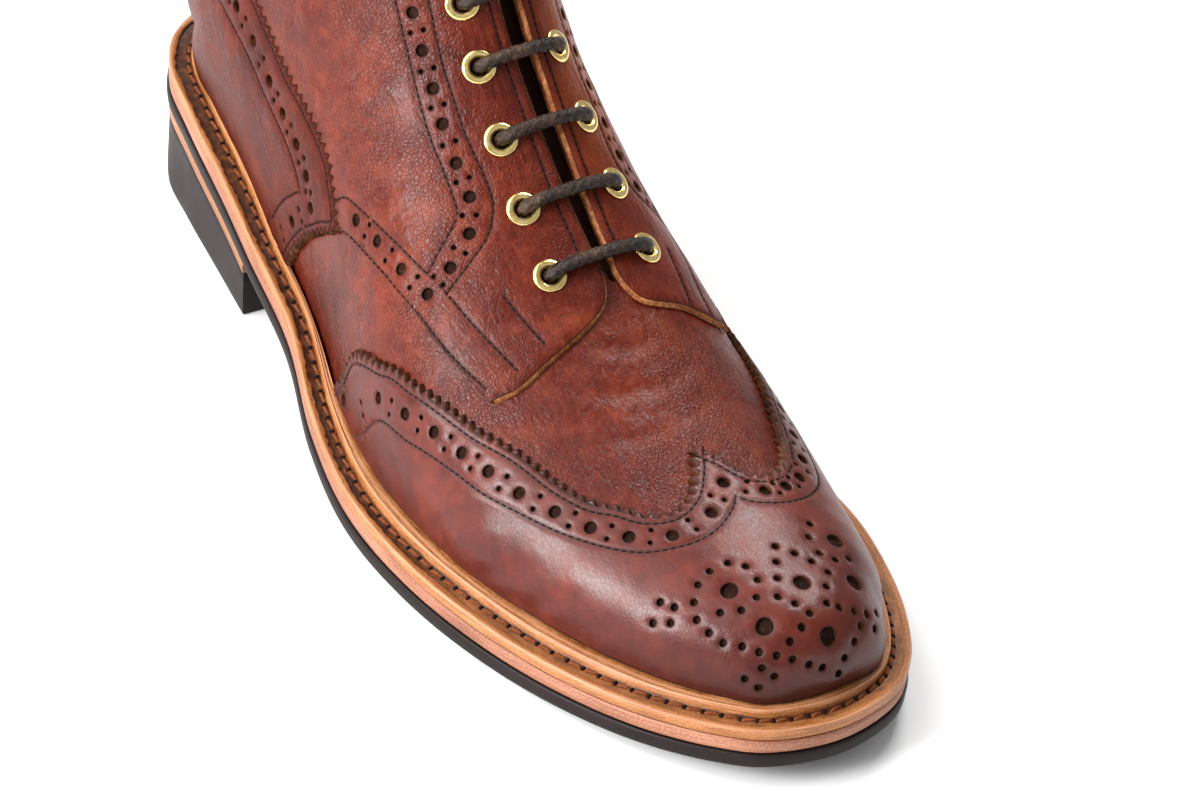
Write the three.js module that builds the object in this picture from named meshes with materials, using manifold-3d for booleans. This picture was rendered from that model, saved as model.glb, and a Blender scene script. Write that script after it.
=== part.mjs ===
// Brogue ankle boot, right foot, standing on its sole.
// Millimetres, +Z up, toe toward -Y, outer side toward -X, floor at Z = 0.
import * as THREE from "three";
import { mergeVertices } from "three/addons/utils/BufferGeometryUtils.js";
import Module from "manifold-3d";

const wasm = await Module();
wasm.setup();

// Driving sizes
const SOLE_LENGTH = 311;
const SOLE_WIDTH = 113.4;
const BOOT_HEIGHT = 176;
const HEEL_HEIGHT_BACK = 29.5;
const HEEL_HEIGHT_BREAST = 18.8;
const HEEL_LENGTH = 85;
const TOE_SPRING = 6.8;
const TOE_LEAN = 0.7;

// Thicknesses
const OUTSOLE_THICKNESS = 4.1;
const MIDSOLE_THICKNESS = 3.8;
const WELT_THICKNESS = 3.2;
const RIB_HEIGHT = 2.6;
const RIB_FOOT_SHARE = 0.48;
const INSOLE_THICKNESS = 3.0;
const INSOLE_GAP = 0.5;
const LIFT_THICKNESS = 3.8;
const WALL = 2.2;
const OVERLAY = 1.4;
const COUNTER_OVERLAY = 1.9;
const TONGUE_THICKNESS = 1.9;

// Clearances
const SEAT_GAP = 0.3;
const SKIN_GAP = 0.35;
const WELT_FIT = 0.6;
const EDGE_GAP = 0.4;
const TONGUE_CLEAR = 0.8;
const LACE_ROOM = 2.9;

// Welt

// Lacing
const EYELET_ROWS = [9.23, 10.03, 10.82, 11.7, 12.51, 13.6, 15.2];
const EYELET_SIDE = 0.13;
const EYELET_FLANGE = 4.4;
const EYELET_BORE = 2.1;
const EYELET_BARREL = 2.6;
const EYELET_RISE = 0.9;
const EYELET_FIT = 0.35;
const LACE_DIAMETER = 3.6;
const LACE_CLEAR = 0.5;

// Throat
const THROAT_ROW = 8.95;
const THROAT_HALF_SHARE = 0.03;
const TONGUE_SIDE = 0.3;
const TONGUE_START = 7.6;
const TONGUE_END = 18.6;

// Rows of the section table where the skin starts and stops being open underneath
const FOOT_START = 2;
const FOOT_END = 14;
const COLLAR_ROW = 18;
const LOWER_SHARE = 1 / 3;

// Last sections, as shares of sole length (front, foot), boot height (top, rise)
// and sole width (ridge, outer, inner). A null rise lies on the foot line.
// front, top, foot, rise, ridge, outer, inner, widest, fullness, tuck
const SECTIONS = [
  [0.9734, 0.1378, 0.9708, 0.1392, -0.0005, 0.0000, 0.0000, 0.50, 2.00, 0.50],
  [0.9688, 0.1680, 0.9664, 0.1080, -0.0005, 0.0600, 0.0680, 0.50, 2.00, 0.50],
  [0.9624, 0.1964, 0.9646, null, -0.0005, 0.1030, 0.1220, 0.42, 2.10, 0.50],
  [0.9495, 0.2168, 0.9614, null, -0.0018, 0.1440, 0.1560, 0.38, 2.20, 0.80],
  [0.9251, 0.2286, 0.9389, null, -0.0062, 0.1980, 0.1960, 0.36, 2.30, 1.00],
  [0.8867, 0.2382, 0.9003, null, -0.0132, 0.2650, 0.2619, 0.34, 2.30, 1.00],
  [0.8286, 0.2542, 0.8425, null, -0.0220, 0.3350, 0.3060, 0.32, 2.20, 1.00],
  [0.7574, 0.2851, 0.7653, null, -0.0309, 0.4010, 0.3475, 0.30, 2.10, 1.00],
  [0.6829, 0.3349, 0.6817, null, -0.0397, 0.4470, 0.3748, 0.28, 2.00, 1.00],
  [0.6148, 0.3962, 0.5981, null, -0.0397, 0.4480, 0.3669, 0.30, 2.00, 1.00],
  [0.5532, 0.4701, 0.5080, null, -0.0353, 0.4180, 0.3457, 0.33, 2.00, 1.00],
  [0.4980, 0.5578, 0.4051, null, -0.0265, 0.3651, 0.3166, 0.38, 2.00, 1.00],
  [0.4524, 0.6457, 0.2958, null, -0.0176, 0.3263, 0.2990, 0.42, 2.00, 1.00],
  [0.4197, 0.7410, 0.1608, null, -0.0088, 0.3131, 0.2981, 0.46, 2.00, 1.20],
  [0.3999, 0.8290, 0.0328, null, 0.0000, 0.3010, 0.2990, 0.48, 2.00, 0.80],
  [0.3903, 0.8977, 0.0174, 0.3409, 0.0000, 0.2960, 0.2960, 0.48, 2.10, 0.56],
  [0.3855, 0.9432, 0.0354, 0.5966, 0.0000, 0.2990, 0.3030, 0.48, 2.10, 0.55],
  [0.3823, 0.9773, 0.0482, 0.8239, 0.0000, 0.3060, 0.3090, 0.48, 2.10, 0.53],
  [0.3807, 1.0000, 0.0502, 0.9773, 0.0000, 0.3175, 0.3175, 0.48, 2.10, 0.50],
  [0.3813, 1.0640, 0.0502, 1.0400, 0.0000, 0.3224, 0.3224, 0.48, 2.10, 0.50],
];

// Sole outline: station as a share of the length, half widths as shares of the width
// Sole's edge to the foot line, mm, by share of the length from the heel
const WELT_REACH = [
  [0.0, 10.2],
  [0.221, 9.6],
  [0.347, 7.6],
  [0.513, 8.2],
  [0.659, 9.6],
  [0.766, 11.0],
  [1.0, 11.0],
];

// station, outer, inner
const OUTLINE = [
  [0.0257, 0.1650, 0.1650],
  [0.0643, 0.2390, 0.2420],
  [0.1222, 0.2760, 0.2930],
  [0.2026, 0.3160, 0.3230],
  [0.2830, 0.3550, 0.3157],
  [0.3794, 0.3917, 0.2910],
  [0.4759, 0.4779, 0.2998],
  [0.5724, 0.5330, 0.3616],
  [0.6688, 0.5360, 0.4550],
  [0.7653, 0.4938, 0.4680],
  [0.8457, 0.4283, 0.4158],
  [0.9100, 0.3477, 0.3410],
  [0.9582, 0.2531, 0.2540],
  [0.9855, 0.1690, 0.1600],
];

// Wing cap edge: distance from the peak line, row it reaches
const WING_EDGE = [
  [0.0, 6.9],
  [0.033, 6.58],
  [0.07, 6.36],
  [0.13, 6.24],
  [0.19, 6.36],
  [0.23, 6.6],
  [0.27, 6.84],
  [0.31, 7.2],
  [0.345, 7.78],
  [0.39, 8.3],
  [0.43, 8.84],
  [0.47, 9.24],
  [0.54, 9.76],
  [0.68, 10.3],
  [1.04, 10.8],
];
const WING_PEAK = 0.03;

// Quarter: share across from the facing, row of the front edge
const QUARTER_FRONT = [
  [0.0, 9.0],
  [0.03, 8.82],
  [0.1, 8.66],
  [0.29, 8.52],
  [0.57, 8.42],
  [0.8, 8.36],
  [1.0, 8.44],
];

// Quarter: row, lower edge
const QUARTER_LOW = [
  [8.3, 0.345],
  [8.44, 0.35],
  [9.32, 0.392],
  [9.84, 0.428],
  [10.32, 0.47],
  [10.7, 0.512],
  [11.08, 0.572],
  [11.34, 0.622],
  [11.46, 0.61],
  [11.7, 0.6],
  [12.2, 0.59],
  [13.4, 0.605],
  [14.0, 0.63],
  [15.0, 0.72],
  [16.0, 0.8],
  [17.0, 0.85],
  [18.0, 0.88],
];

// Counter: share round to the back, row of its lower edge
const COUNTER_LOW = [
  [0.0, 11.36],
  [0.22, 11.56],
  [0.45, 11.74],
  [0.7, 11.84],
  [1.0, 11.86],
];

// Monotone cubic through a table of [x, y]
function monotone(table) {
  const x = table.map((r) => r[0]);
  const y = table.map((r) => r[1]);
  const n = x.length;
  const h = x.slice(1).map((v, i) => v - x[i]);
  const s = h.map((v, i) => (y[i + 1] - y[i]) / v);
  const end = (h0, h1, s0, s1) => {
    const d = ((2 * h0 + h1) * s0 - h0 * s1) / (h0 + h1);
    if (d * s0 <= 0) return 0;
    return s0 * s1 < 0 && Math.abs(d) > 3 * Math.abs(s0) ? 3 * s0 : d;
  };
  const d = y.map((_, i) => {
    if (i === 0) return end(h[0], h[1], s[0], s[1]);
    if (i === n - 1) return end(h[n - 2], h[n - 3], s[n - 2], s[n - 3]);
    if (s[i - 1] * s[i] <= 0) return 0;
    const a = 2 * h[i] + h[i - 1];
    const b = h[i] + 2 * h[i - 1];
    return (a + b) / (a / s[i - 1] + b / s[i]);
  });
  return (t) => {
    const v = Math.min(Math.max(t, x[0]), x[n - 1]);
    let i = 0;
    while (i < n - 2 && v > x[i + 1]) i++;
    const p = (v - x[i]) / h[i];
    const q = 1 - p;
    return (
      y[i] * (1 + 2 * p) * q * q +
      d[i] * h[i] * p * q * q +
      y[i + 1] * p * p * (3 - 2 * p) -
      d[i + 1] * h[i] * p * p * q
    );
  };
}

// Straight-line lookup in an ascending table of [x, y]
function linear(table, v) {
  const n = table.length;
  if (v <= table[0][0]) return table[0][1];
  if (v >= table[n - 1][0]) return table[n - 1][1];
  let lo = 0;
  let hi = n - 1;
  while (hi - lo > 1) {
    const mid = (lo + hi) >> 1;
    if (table[mid][0] <= v) lo = mid;
    else hi = mid;
  }
  const t = (v - table[lo][0]) / (table[hi][0] - table[lo][0]);
  return table[lo][1] + (table[hi][1] - table[lo][1]) * t;
}

const clamp = (v, a, b) => Math.min(Math.max(v, a), b);
const lerp = (a, b, t) => a + (b - a) * t;

// Sole outline as a closed run of [from heel, outward]
function outlineRun() {
  const pts = [[0, 0]];
  for (const [u, outer] of OUTLINE) pts.push([u * SOLE_LENGTH, outer * SOLE_WIDTH]);
  pts.push([SOLE_LENGTH, TOE_LEAN]);
  for (const [u, , inner] of [...OUTLINE].reverse()) {
    pts.push([u * SOLE_LENGTH, -inner * SOLE_WIDTH]);
  }
  const curve = new THREE.CatmullRomCurve3(
    pts.map(([a, b]) => new THREE.Vector3(a, b, 0)),
    true,
    "centripetal",
  );
  return curve.getPoints(pts.length * 14).slice(0, -1).map((p) => [p.x, p.y]);
}
const OUTER_RUN = outlineRun();
const SIDE_VALUES = OUTER_RUN.map((p) => p[1]);
const CENTRE = (Math.max(...SIDE_VALUES) + Math.min(...SIDE_VALUES)) / 2;

// Inward unit normals of the outline
const INWARD = OUTER_RUN.map((_, i) => {
  const n = OUTER_RUN.length;
  const a = OUTER_RUN[(i + n - 1) % n];
  const b = OUTER_RUN[(i + 1) % n];
  const l = Math.hypot(b[0] - a[0], b[1] - a[1]);
  return [(b[1] - a[1]) / l, -(b[0] - a[0]) / l];
});
const TURN = INWARD[Math.round(INWARD.length / 4)][1] < 0 ? 1 : -1;

// Outline moved inward by a distance that may change along the foot
function insetRun(distance) {
  return OUTER_RUN.map((p, i) => {
    const d = typeof distance === "function" ? distance(p[0]) : distance;
    return [p[0] + TURN * INWARD[i][0] * d, p[1] + TURN * INWARD[i][1] * d];
  });
}

// Outer and inner half of a closed run, as ascending tables of [from heel, outward]
function halves(run) {
  let lo = 0;
  let hi = 0;
  run.forEach((p, i) => {
    if (p[0] < run[lo][0]) lo = i;
    if (p[0] > run[hi][0]) hi = i;
  });
  const walk = (step) => {
    const out = [];
    for (let i = lo; ; i = (i + step + run.length) % run.length) {
      out.push(run[i]);
      if (i === hi) return out;
    }
  };
  const a = walk(1);
  const b = walk(-1);
  const side = (t) => t[t.length >> 1][1];
  return side(a) > side(b) ? { outer: a, inner: b } : { outer: b, inner: a };
}

const reachAt = monotone(WELT_REACH);
const weltReach = (u) => reachAt(u / SOLE_LENGTH);
const FOOT = halves(insetRun(weltReach));
const FOOT_BACK = FOOT.outer[0];
const FOOT_TIP = FOOT.outer[FOOT.outer.length - 1];

// Height of the sole's underside above the floor
function soleBottom(u) {
  const s = clamp((u / SOLE_LENGTH - 0.219) / 0.411, 0, 1);
  const slope = (HEEL_HEIGHT_BACK - HEEL_HEIGHT_BREAST) / HEEL_LENGTH;
  const heel = HEEL_HEIGHT_BACK - slope * u;
  const spring = clamp((u / SOLE_LENGTH - 0.698) / 0.302, 0, 2) ** 1.9;
  return heel * (1 - s * s * (3 - 2 * s)) + TOE_SPRING * spring;
}

const MIDSOLE_BASE = OUTSOLE_THICKNESS + SEAT_GAP;
const WELT_BASE = MIDSOLE_BASE + MIDSOLE_THICKNESS + SEAT_GAP;
const WELT_TOP = WELT_BASE + WELT_THICKNESS;
const RIB_TOP = WELT_TOP + RIB_HEIGHT;

const place = (u, side, z) => new THREE.Vector3(CENTRE - side, SOLE_LENGTH / 2 - u, z);

// Columns of the last table in millimetres
const COLUMNS = SECTIONS[0].map((_, c) =>
  monotone(
    SECTIONS.map((row, i) => {
      if (c === 0 || c === 2) return [i, row[c] * SOLE_LENGTH];
      if (c === 1) return [i, row[c] * BOOT_HEIGHT];
      if (c === 3) {
        if (row[c] === null) return [i, soleBottom(row[2] * SOLE_LENGTH) + WELT_BASE];
        return [i, row[c] * BOOT_HEIGHT];
      }
      if (c < 7) return [i, row[c] * SOLE_WIDTH];
      return [i, row[c]];
    }),
  ),
);

// Point on the last's skin: row k, and v from -1 (inner foot line) over 0 (ridge) to 1
function skin(k, v) {
  const [front, top, foot0, rise0, ridge, outer, inner, widest, full, tuck] = COLUMNS.map(
    (f) => f(k),
  );
  const isOpen = k >= FOOT_START && k <= FOOT_END;
  const foot = isOpen ? clamp(foot0, FOOT_BACK[0], FOOT_TIP[0]) : foot0;
  const rise = isOpen ? soleBottom(foot) + WELT_BASE : rise0;
  const a = Math.abs(v);
  const wide = v >= 0 ? outer : -inner;
  let base = k <= FOOT_START ? FOOT_TIP[1] : FOOT_BACK[1];
  if (k > FOOT_START && k < FOOT_END) base = linear(v >= 0 ? FOOT.outer : FOOT.inner, foot);
  const upper = 1 - LOWER_SHARE;
  let h;
  let x;
  if (a <= upper) {
    const angle = (Math.PI / 2) * (1 - a / upper);
    h = widest + (1 - widest) * Math.sin(angle) ** (2 / full);
    x = ridge + (wide - ridge) * Math.max(Math.cos(angle), 0) ** (2 / full);
  } else {
    const t = 1 - Math.cos(((Math.PI / 2) * (1 - a)) / LOWER_SHARE);
    h = widest * t;
    x = base + (wide - base) * Math.max(1 - (1 - t) * (1 - t), 0) ** tuck;
  }
  return place(lerp(foot, front, h), x, lerp(rise, top, h));
}

const LAST_ROW = SECTIONS.length - 1;
const closedAt = (k) => k <= FOOT_START + 1e-9 || k >= FOOT_END - 1e-9;

// Outward unit normal of the skin
function sideNormal(k, v) {
  const dk = 0.03;
  const dv = 0.004;
  const a = skin(Math.min(k + dk, LAST_ROW), v).sub(skin(Math.max(k - dk, 0), v));
  const b = skin(k, Math.min(v + dv, 1)).sub(skin(k, Math.max(v - dv, -1)));
  return a.cross(b).normalize();
}
function normalAt(k, v) {
  if (k < 0.05) {
    const sum = new THREE.Vector3();
    for (let i = -6; i <= 6; i++) sum.add(sideNormal(0.4, i / 7));
    sum.x = 0;
    return sum.normalize();
  }
  if (Math.abs(v) > 0.9999 && closedAt(k)) {
    return sideNormal(k, 0.9999).add(sideNormal(k, -0.9999)).normalize();
  }
  return sideNormal(k, v);
}
const skinAt = (k, v, off) => skin(k, v).addScaledVector(normalAt(k, v), off);

// Triangle list that becomes one welded mesh geometry
class Facets {
  constructor() {
    this.list = [];
  }
  tri(a, b, c) {
    this.list.push(a, b, c);
  }
  quad(a, b, c, d) {
    this.tri(a, b, c);
    this.tri(a, c, d);
  }
  geometry() {
    const pos = new Float32Array(this.list.length * 3);
    this.list.forEach((p, i) => pos.set([p.x, p.y, p.z], i * 3));
    const raw = new THREE.BufferGeometry();
    raw.setAttribute("position", new THREE.BufferAttribute(pos, 3));
    return tidy(mergeVertices(raw, 2e-3));
  }
}

// Geometry without collapsed triangles, facing out
function tidy(g) {
  const idx = g.index.array;
  const keep = [];
  for (let i = 0; i < idx.length; i += 3) {
    const [a, b, c] = [idx[i], idx[i + 1], idx[i + 2]];
    if (a !== b && b !== c && a !== c) keep.push(a, b, c);
  }
  const p = g.attributes.position;
  const v = (i) => new THREE.Vector3().fromBufferAttribute(p, i);
  let volume = 0;
  for (let i = 0; i < keep.length; i += 3) {
    volume += v(keep[i]).dot(v(keep[i + 1]).cross(v(keep[i + 2])));
  }
  if (volume < 0) {
    for (let i = 0; i < keep.length; i += 3) [keep[i], keep[i + 1]] = [keep[i + 1], keep[i]];
  }
  g.setIndex(keep);
  return g;
}

const toSolid = (g) =>
  new wasm.Manifold(
    new wasm.Mesh({
      numProp: 3,
      vertProperties: new Float32Array(g.attributes.position.array),
      triVerts: new Uint32Array(g.index.array),
    }),
  );
function fromSolid(solid) {
  const m = solid.getMesh();
  const pos = new Float32Array(m.numVert * 3);
  for (let i = 0; i < m.numVert; i++) {
    pos.set(m.vertProperties.subarray(i * m.numProp, i * m.numProp + 3), i * 3);
  }
  const g = new THREE.BufferGeometry();
  g.setAttribute("position", new THREE.BufferAttribute(pos, 3));
  g.setIndex(Array.from(m.triVerts));
  return g;
}
const cut = (g, ...tools) =>
  fromSolid(tools.reduce((s, t) => s.subtract(toSolid(t)), toSolid(g)));

function mainBody(g) {
  const bodies = toSolid(g).decompose();
  return fromSolid(bodies.reduce((a, b) => (b.volume() > a.volume() ? b : a)));
}
const inside = (g, body) => fromSolid(toSolid(g).intersect(toSolid(body)));

// Solid through closed loops of the same count; open ends get a fan cap
function loft(loops, capStart, capEnd, ring = false) {
  const f = new Facets();
  const n = loops[0].length;
  const last = ring ? loops.length : loops.length - 1;
  for (let i = 0; i < last; i++) {
    const a = loops[i];
    const b = loops[(i + 1) % loops.length];
    for (let j = 0; j < n; j++) f.quad(a[j], a[(j + 1) % n], b[(j + 1) % n], b[j]);
  }
  const fan = (loop, flip) => {
    for (let j = 1; j < n - 1; j++) {
      if (flip) f.tri(loop[0], loop[j], loop[j + 1]);
      else f.tri(loop[0], loop[j + 1], loop[j]);
    }
  };
  if (capStart) fan(loops[0], false);
  if (capEnd) fan(loops[loops.length - 1], true);
  return f.geometry();
}

// Layer of the sole between levels of [inset, height above the floor as a function]
function soleLayer(levels, stations, reach = 1) {
  const sides = levels.map(([inset]) => halves(insetRun(inset)));
  const loops = [];
  for (let i = 0; i <= stations; i++) {
    const s = i / stations;
    const share = reach < 1 ? 1 - Math.cos((Math.PI / 2) * s) : (1 - Math.cos(Math.PI * s)) / 2;
    const point = (l, key) => {
      const table = sides[l][key];
      const from = table[0][0];
      const to = reach < 1 ? reach * SOLE_LENGTH : table[table.length - 1][0];
      const u = lerp(from, to, share);
      const x = linear(table, u);
      return place(u, x, levels[l][1](u));
    };
    const up = levels.map((_, l) => point(l, "outer"));
    const down = levels.map((_, l) => point(l, "inner")).reverse();
    loops.push([...up, ...down]);
  }
  return loft(loops, false, reach < 1);
}

// Closed body under the last's skin, moved out by a distance, for cutting neighbours
const ROW_STEPS = [0, 0.4, 0.8, 1.3, 2, 2.6, 3.2, 4, 4.8, 5.6, 6.4, 7.2, 8];
for (let k = 8.5; k < FOOT_END; k += 0.5) ROW_STEPS.push(k);
ROW_STEPS.push(13.8);
for (let k = FOOT_END; k <= COLLAR_ROW; k += 1) ROW_STEPS.push(k);
const SIDE_STEPS = 12;

function skinGrid(off) {
  return ROW_STEPS.map((k) => {
    const row = [];
    for (let j = -SIDE_STEPS; j <= SIDE_STEPS; j++) row.push(skinAt(k, j / SIDE_STEPS, off));
    const floorAt = (p) => soleBottom(SOLE_LENGTH / 2 - p.y) + WELT_BASE;
    for (const p of row) p.z = Math.max(p.z, floorAt(p));
    const ends = k >= FOOT_START && k <= FOOT_END ? [row[0], row[row.length - 1]] : [];
    for (const p of ends) p.z = floorAt(p);
    return row;
  });
}
function lastBody(off, drop) {
  const grid = skinGrid(off);
  const f = new Facets();
  const m = SIDE_STEPS * 2;
  grid.forEach((row, i) => {
    if (!closedAt(ROW_STEPS[i])) {
      row[0].z -= drop;
      row[m].z -= drop;
    }
  });
  for (let i = 0; i < grid.length - 1; i++) {
    for (let j = 0; j < m; j++) f.quad(grid[i][j], grid[i][j + 1], grid[i + 1][j + 1], grid[i + 1][j]);
    f.quad(grid[i][m], grid[i][0], grid[i + 1][0], grid[i + 1][m]);
  }
  const top = grid[grid.length - 1];
  const mid = top.reduce((s, p) => s.add(p), new THREE.Vector3()).divideScalar(top.length);
  for (let j = 0; j < m; j++) f.tri(mid, top[j], top[j + 1]);
  return f.geometry();
}

// Shell between two offsets of the skin over a grid of [row, side] places
function patch(rows, cols, at, inside, outside) {
  const f = new Facets();
  patchInto(f, rows, cols, at, inside, outside);
  return f.geometry();
}
function patchInto(f, rows, cols, at, inside, outside) {
  const lo = [];
  const hi = [];
  const kv = [];
  for (let i = 0; i <= rows; i++) {
    kv.push([]);
    lo.push([]);
    hi.push([]);
    for (let j = 0; j <= cols; j++) {
      const [k, v] = at(i / rows, j / cols);
      kv[i].push([k, v]);
      lo[i].push(skinAt(k, v, typeof inside === "function" ? inside(k) : inside));
      hi[i].push(skinAt(k, v, typeof outside === "function" ? outside(k) : outside));
    }
  }
  const wall = (i0, j0, i1, j1) => {
    const [a, b] = [kv[i0][j0], kv[i1][j1]];
    const edge = (p) => Math.abs(p[1]) > 0.9999 && closedAt(p[0]);
    if (edge(a) && edge(b)) return;
    if (a[0] < 0.01 && b[0] < 0.01) return;
    f.quad(lo[i0][j0], lo[i1][j1], hi[i1][j1], hi[i0][j0]);
  };
  for (let i = 0; i < rows; i++) {
    for (let j = 0; j < cols; j++) {
      f.quad(hi[i][j], hi[i][j + 1], hi[i + 1][j + 1], hi[i + 1][j]);
      f.quad(lo[i][j], lo[i + 1][j], lo[i + 1][j + 1], lo[i][j + 1]);
    }
    wall(i + 1, 0, i, 0);
    wall(i, cols, i + 1, cols);
  }
  for (let j = 0; j < cols; j++) {
    wall(0, j, 0, j + 1);
    wall(rows, j + 1, rows, j);
  }
}

const boot = new THREE.Group();
boot.name = "brogue_boot";
function add(name, geometry, colour, roughness, metalness = 0) {
  const material = new THREE.MeshStandardMaterial({ color: colour, roughness, metalness });
  const mesh = new THREE.Mesh(geometry, material);
  mesh.name = name;
  boot.add(mesh);
  return mesh;
}

// Rubber outsole, leather midsole
const level = (h) => (u) => soleBottom(u) + h;
add(
  "outsole",
  soleLayer([[0.6, level(0)], [0.1, level(0.6)], [0, level(OUTSOLE_THICKNESS)]], 40),
  0x3a3232,
  0.6,
);
add(
  "midsole",
  soleLayer([[0.4, level(MIDSOLE_BASE)], [0.4, level(WELT_BASE - SEAT_GAP)]], 40),
  0xc08a64,
  0.6,
);

// Heel: leather lift over a rubber top piece
const heelTop = (u) => soleBottom(u) - SEAT_GAP;
const liftBase = (u) => heelTop(u) - LIFT_THICKNESS;
const pieceTop = (u) => liftBase(u) - SEAT_GAP;
const heelShare = HEEL_LENGTH / SOLE_LENGTH;
add("heel_lift", soleLayer([[0.9, liftBase], [0.6, heelTop]], 14, heelShare), 0xb98258, 0.6);
add(
  "heel_top_piece",
  soleLayer([[1.9, () => 0], [1.5, () => 1.0], [1.1, pieceTop]], 14, heelShare),
  0x2e2828,
  0.6,
);

// Storm welt all round, with a raised rib against the upper
function weltRing() {
  const step = 7;
  const loops = [];
  const profile = (reach) => [
    [0.5, WELT_BASE],
    [0.3, WELT_TOP - 0.8],
    [1.1, WELT_TOP],
    [reach * RIB_FOOT_SHARE - 0.5, WELT_TOP - 0.5],
    [reach * RIB_FOOT_SHARE + 0.2, RIB_TOP - 0.6],
    [reach * RIB_FOOT_SHARE + 0.9, RIB_TOP],
    [reach + 2.2, RIB_TOP],
    [reach + 2.2, WELT_BASE],
  ];
  for (let i = 0; i < OUTER_RUN.length; i += step) {
    const p = OUTER_RUN[i];
    const reach = weltReach(p[0]);
    loops.push(
      profile(reach).map(([d, h]) => {
        const u = p[0] + TURN * INWARD[i][0] * d;
        const x = p[1] + TURN * INWARD[i][1] * d;
        return place(u, x, soleBottom(u) + h);
      }),
    );
  }
  return loft(loops, false, false, true);
}
add("welt", cut(weltRing(), lastBody(WELT_FIT, 2)), 0xd2925c, 0.5);

// Insole inside the wall
const insoleInset = (u) => weltReach(u) + WALL + 1;
const insoleSlab = soleLayer(
  [[insoleInset, level(WELT_BASE)], [insoleInset, level(WELT_BASE + INSOLE_THICKNESS)]],
  30,
);
add("insole", inside(insoleSlab, lastBody(-(WALL + INSOLE_GAP), 0.3)), 0xb89a78, 0.7);

// Upper: one wall of leather, open underneath, at the throat and at the collar
const SIDES = [1, -1];
function upperShell() {
  const outer = skinGrid(0);
  const inner = skinGrid(-WALL);
  const f = new Facets();
  const m = SIDE_STEPS * 2;
  const n = outer.length - 1;
  for (let i = 0; i < n; i++) {
    for (let j = 0; j < m; j++) {
      f.quad(outer[i][j], outer[i][j + 1], outer[i + 1][j + 1], outer[i + 1][j]);
      f.quad(inner[i][j], inner[i + 1][j], inner[i + 1][j + 1], inner[i][j + 1]);
    }
    if (closedAt(ROW_STEPS[i]) && closedAt(ROW_STEPS[i + 1])) continue;
    f.quad(outer[i][0], outer[i + 1][0], inner[i + 1][0], inner[i][0]);
    f.quad(inner[i][m], inner[i + 1][m], outer[i + 1][m], outer[i][m]);
  }
  for (let j = 0; j < m; j++) f.quad(outer[n][j], outer[n][j + 1], inner[n][j + 1], inner[n][j]);
  return f.geometry();
}
function slit() {
  const loops = [];
  for (let k = THROAT_ROW; k <= LAST_ROW; k += 0.45) {
    const s = THROAT_HALF_SHARE + (k < THROAT_ROW + 0.1 ? -0.012 : 0);
    const corner = (v, off) => skinAt(k, v, off);
    loops.push([corner(-s, -6), corner(-s, 6), corner(s, 6), corner(s, -6)]);
  }
  return loft(loops, true, true);
}

// Bores for the eyelets, and the eyelets in them
const OVERLAY_TOP = SKIN_GAP + OVERLAY;
function turned(k, v, geometry, off) {
  const g = geometry.clone();
  const q = new THREE.Quaternion().setFromUnitVectors(new THREE.Vector3(0, 0, 1), normalAt(k, v));
  const m = new THREE.Matrix4().compose(skinAt(k, v, off), q, new THREE.Vector3(1, 1, 1));
  return g.applyMatrix4(m);
}
function lathe(profile, segments) {
  const g = new THREE.LatheGeometry(
    profile.map(([r, z]) => new THREE.Vector2(r, z)),
    segments,
  );
  g.rotateX(Math.PI / 2);
  g.deleteAttribute("normal");
  g.deleteAttribute("uv");
  return tidy(mergeVertices(g, 1e-3));
}
const BORE_RADIUS = EYELET_BARREL + EYELET_FIT;
const boreTool = lathe([[0, -9], [BORE_RADIUS, -9], [BORE_RADIUS, 9], [0, 9]], 8);
const EYELET_BASE = OVERLAY_TOP + SEAT_GAP;
const BARREL_DEPTH = EYELET_BASE + WALL - 0.2;
const eyeletBody = lathe(
  [
    [EYELET_BORE, -BARREL_DEPTH],
    [EYELET_BARREL, -BARREL_DEPTH],
    [EYELET_BARREL, 0],
    [EYELET_FLANGE, 0],
    [EYELET_FLANGE - 0.2, EYELET_RISE * 0.5],
    [(EYELET_FLANGE + EYELET_BORE) / 2, EYELET_RISE],
    [EYELET_BORE, EYELET_RISE * 0.4],
    [EYELET_BORE, -BARREL_DEPTH],
  ],
  8,
);
const bores = (side) => EYELET_ROWS.map((k) => turned(k, side * EYELET_SIDE, boreTool, 0));

add("upper", cut(upperShell(), slit(), ...bores(1), ...bores(-1)), 0x6a2c20, 0.5);

// Tongue behind the throat
const laceRoom = (k) => LACE_ROOM * clamp((k - THROAT_ROW + 0.2) / 0.8, 0, 1);
const tongueTop = (k) => -(WALL + TONGUE_CLEAR + laceRoom(k));
add(
  "tongue",
  patch(
    14,
    6,
    (t, s) => {
      const k = lerp(TONGUE_START, TONGUE_END, t);
      return [k, lerp(-TONGUE_SIDE, TONGUE_SIDE, s)];
    },
    (k) => tongueTop(k) - TONGUE_THICKNESS,
    tongueTop,
  ),
  0x5a241a,
  0.6,
);

// Body under the foot that trims the overlays clear of the welt's rib
const ribTrim = soleLayer([[-6, level(-30)], [-6, level(RIB_TOP + EDGE_GAP)]], 40);

// Layer of leather over the upper, between two bodies of the same facets
const layer = (thickness) => cut(lastBody(SKIN_GAP + thickness, 0), lastBody(SKIN_GAP, 4));
const leather = layer(OVERLAY);
const REGION_IN = -2.5;
const REGION_OUT = 5;

// Wing cap over the toe, with its peak on the vamp
const wingRow = monotone(WING_EDGE);
const behindWing = patch(
  20,
  48,
  (t, s) => {
    const v = lerp(-1, 1, s);
    const edge = wingRow(Math.abs(v - WING_PEAK * (1 - Math.abs(v))));
    const bend = 0.5;
    if (t <= bend) return [lerp(edge, FOOT_END, t / bend), v];
    return [lerp(FOOT_END, LAST_ROW, (t - bend) / (1 - bend)), v];
  },
  REGION_IN,
  REGION_OUT,
);
add("wing_cap", mainBody(cut(leather, behindWing, ribTrim)), 0x642a20, 0.45);

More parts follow.
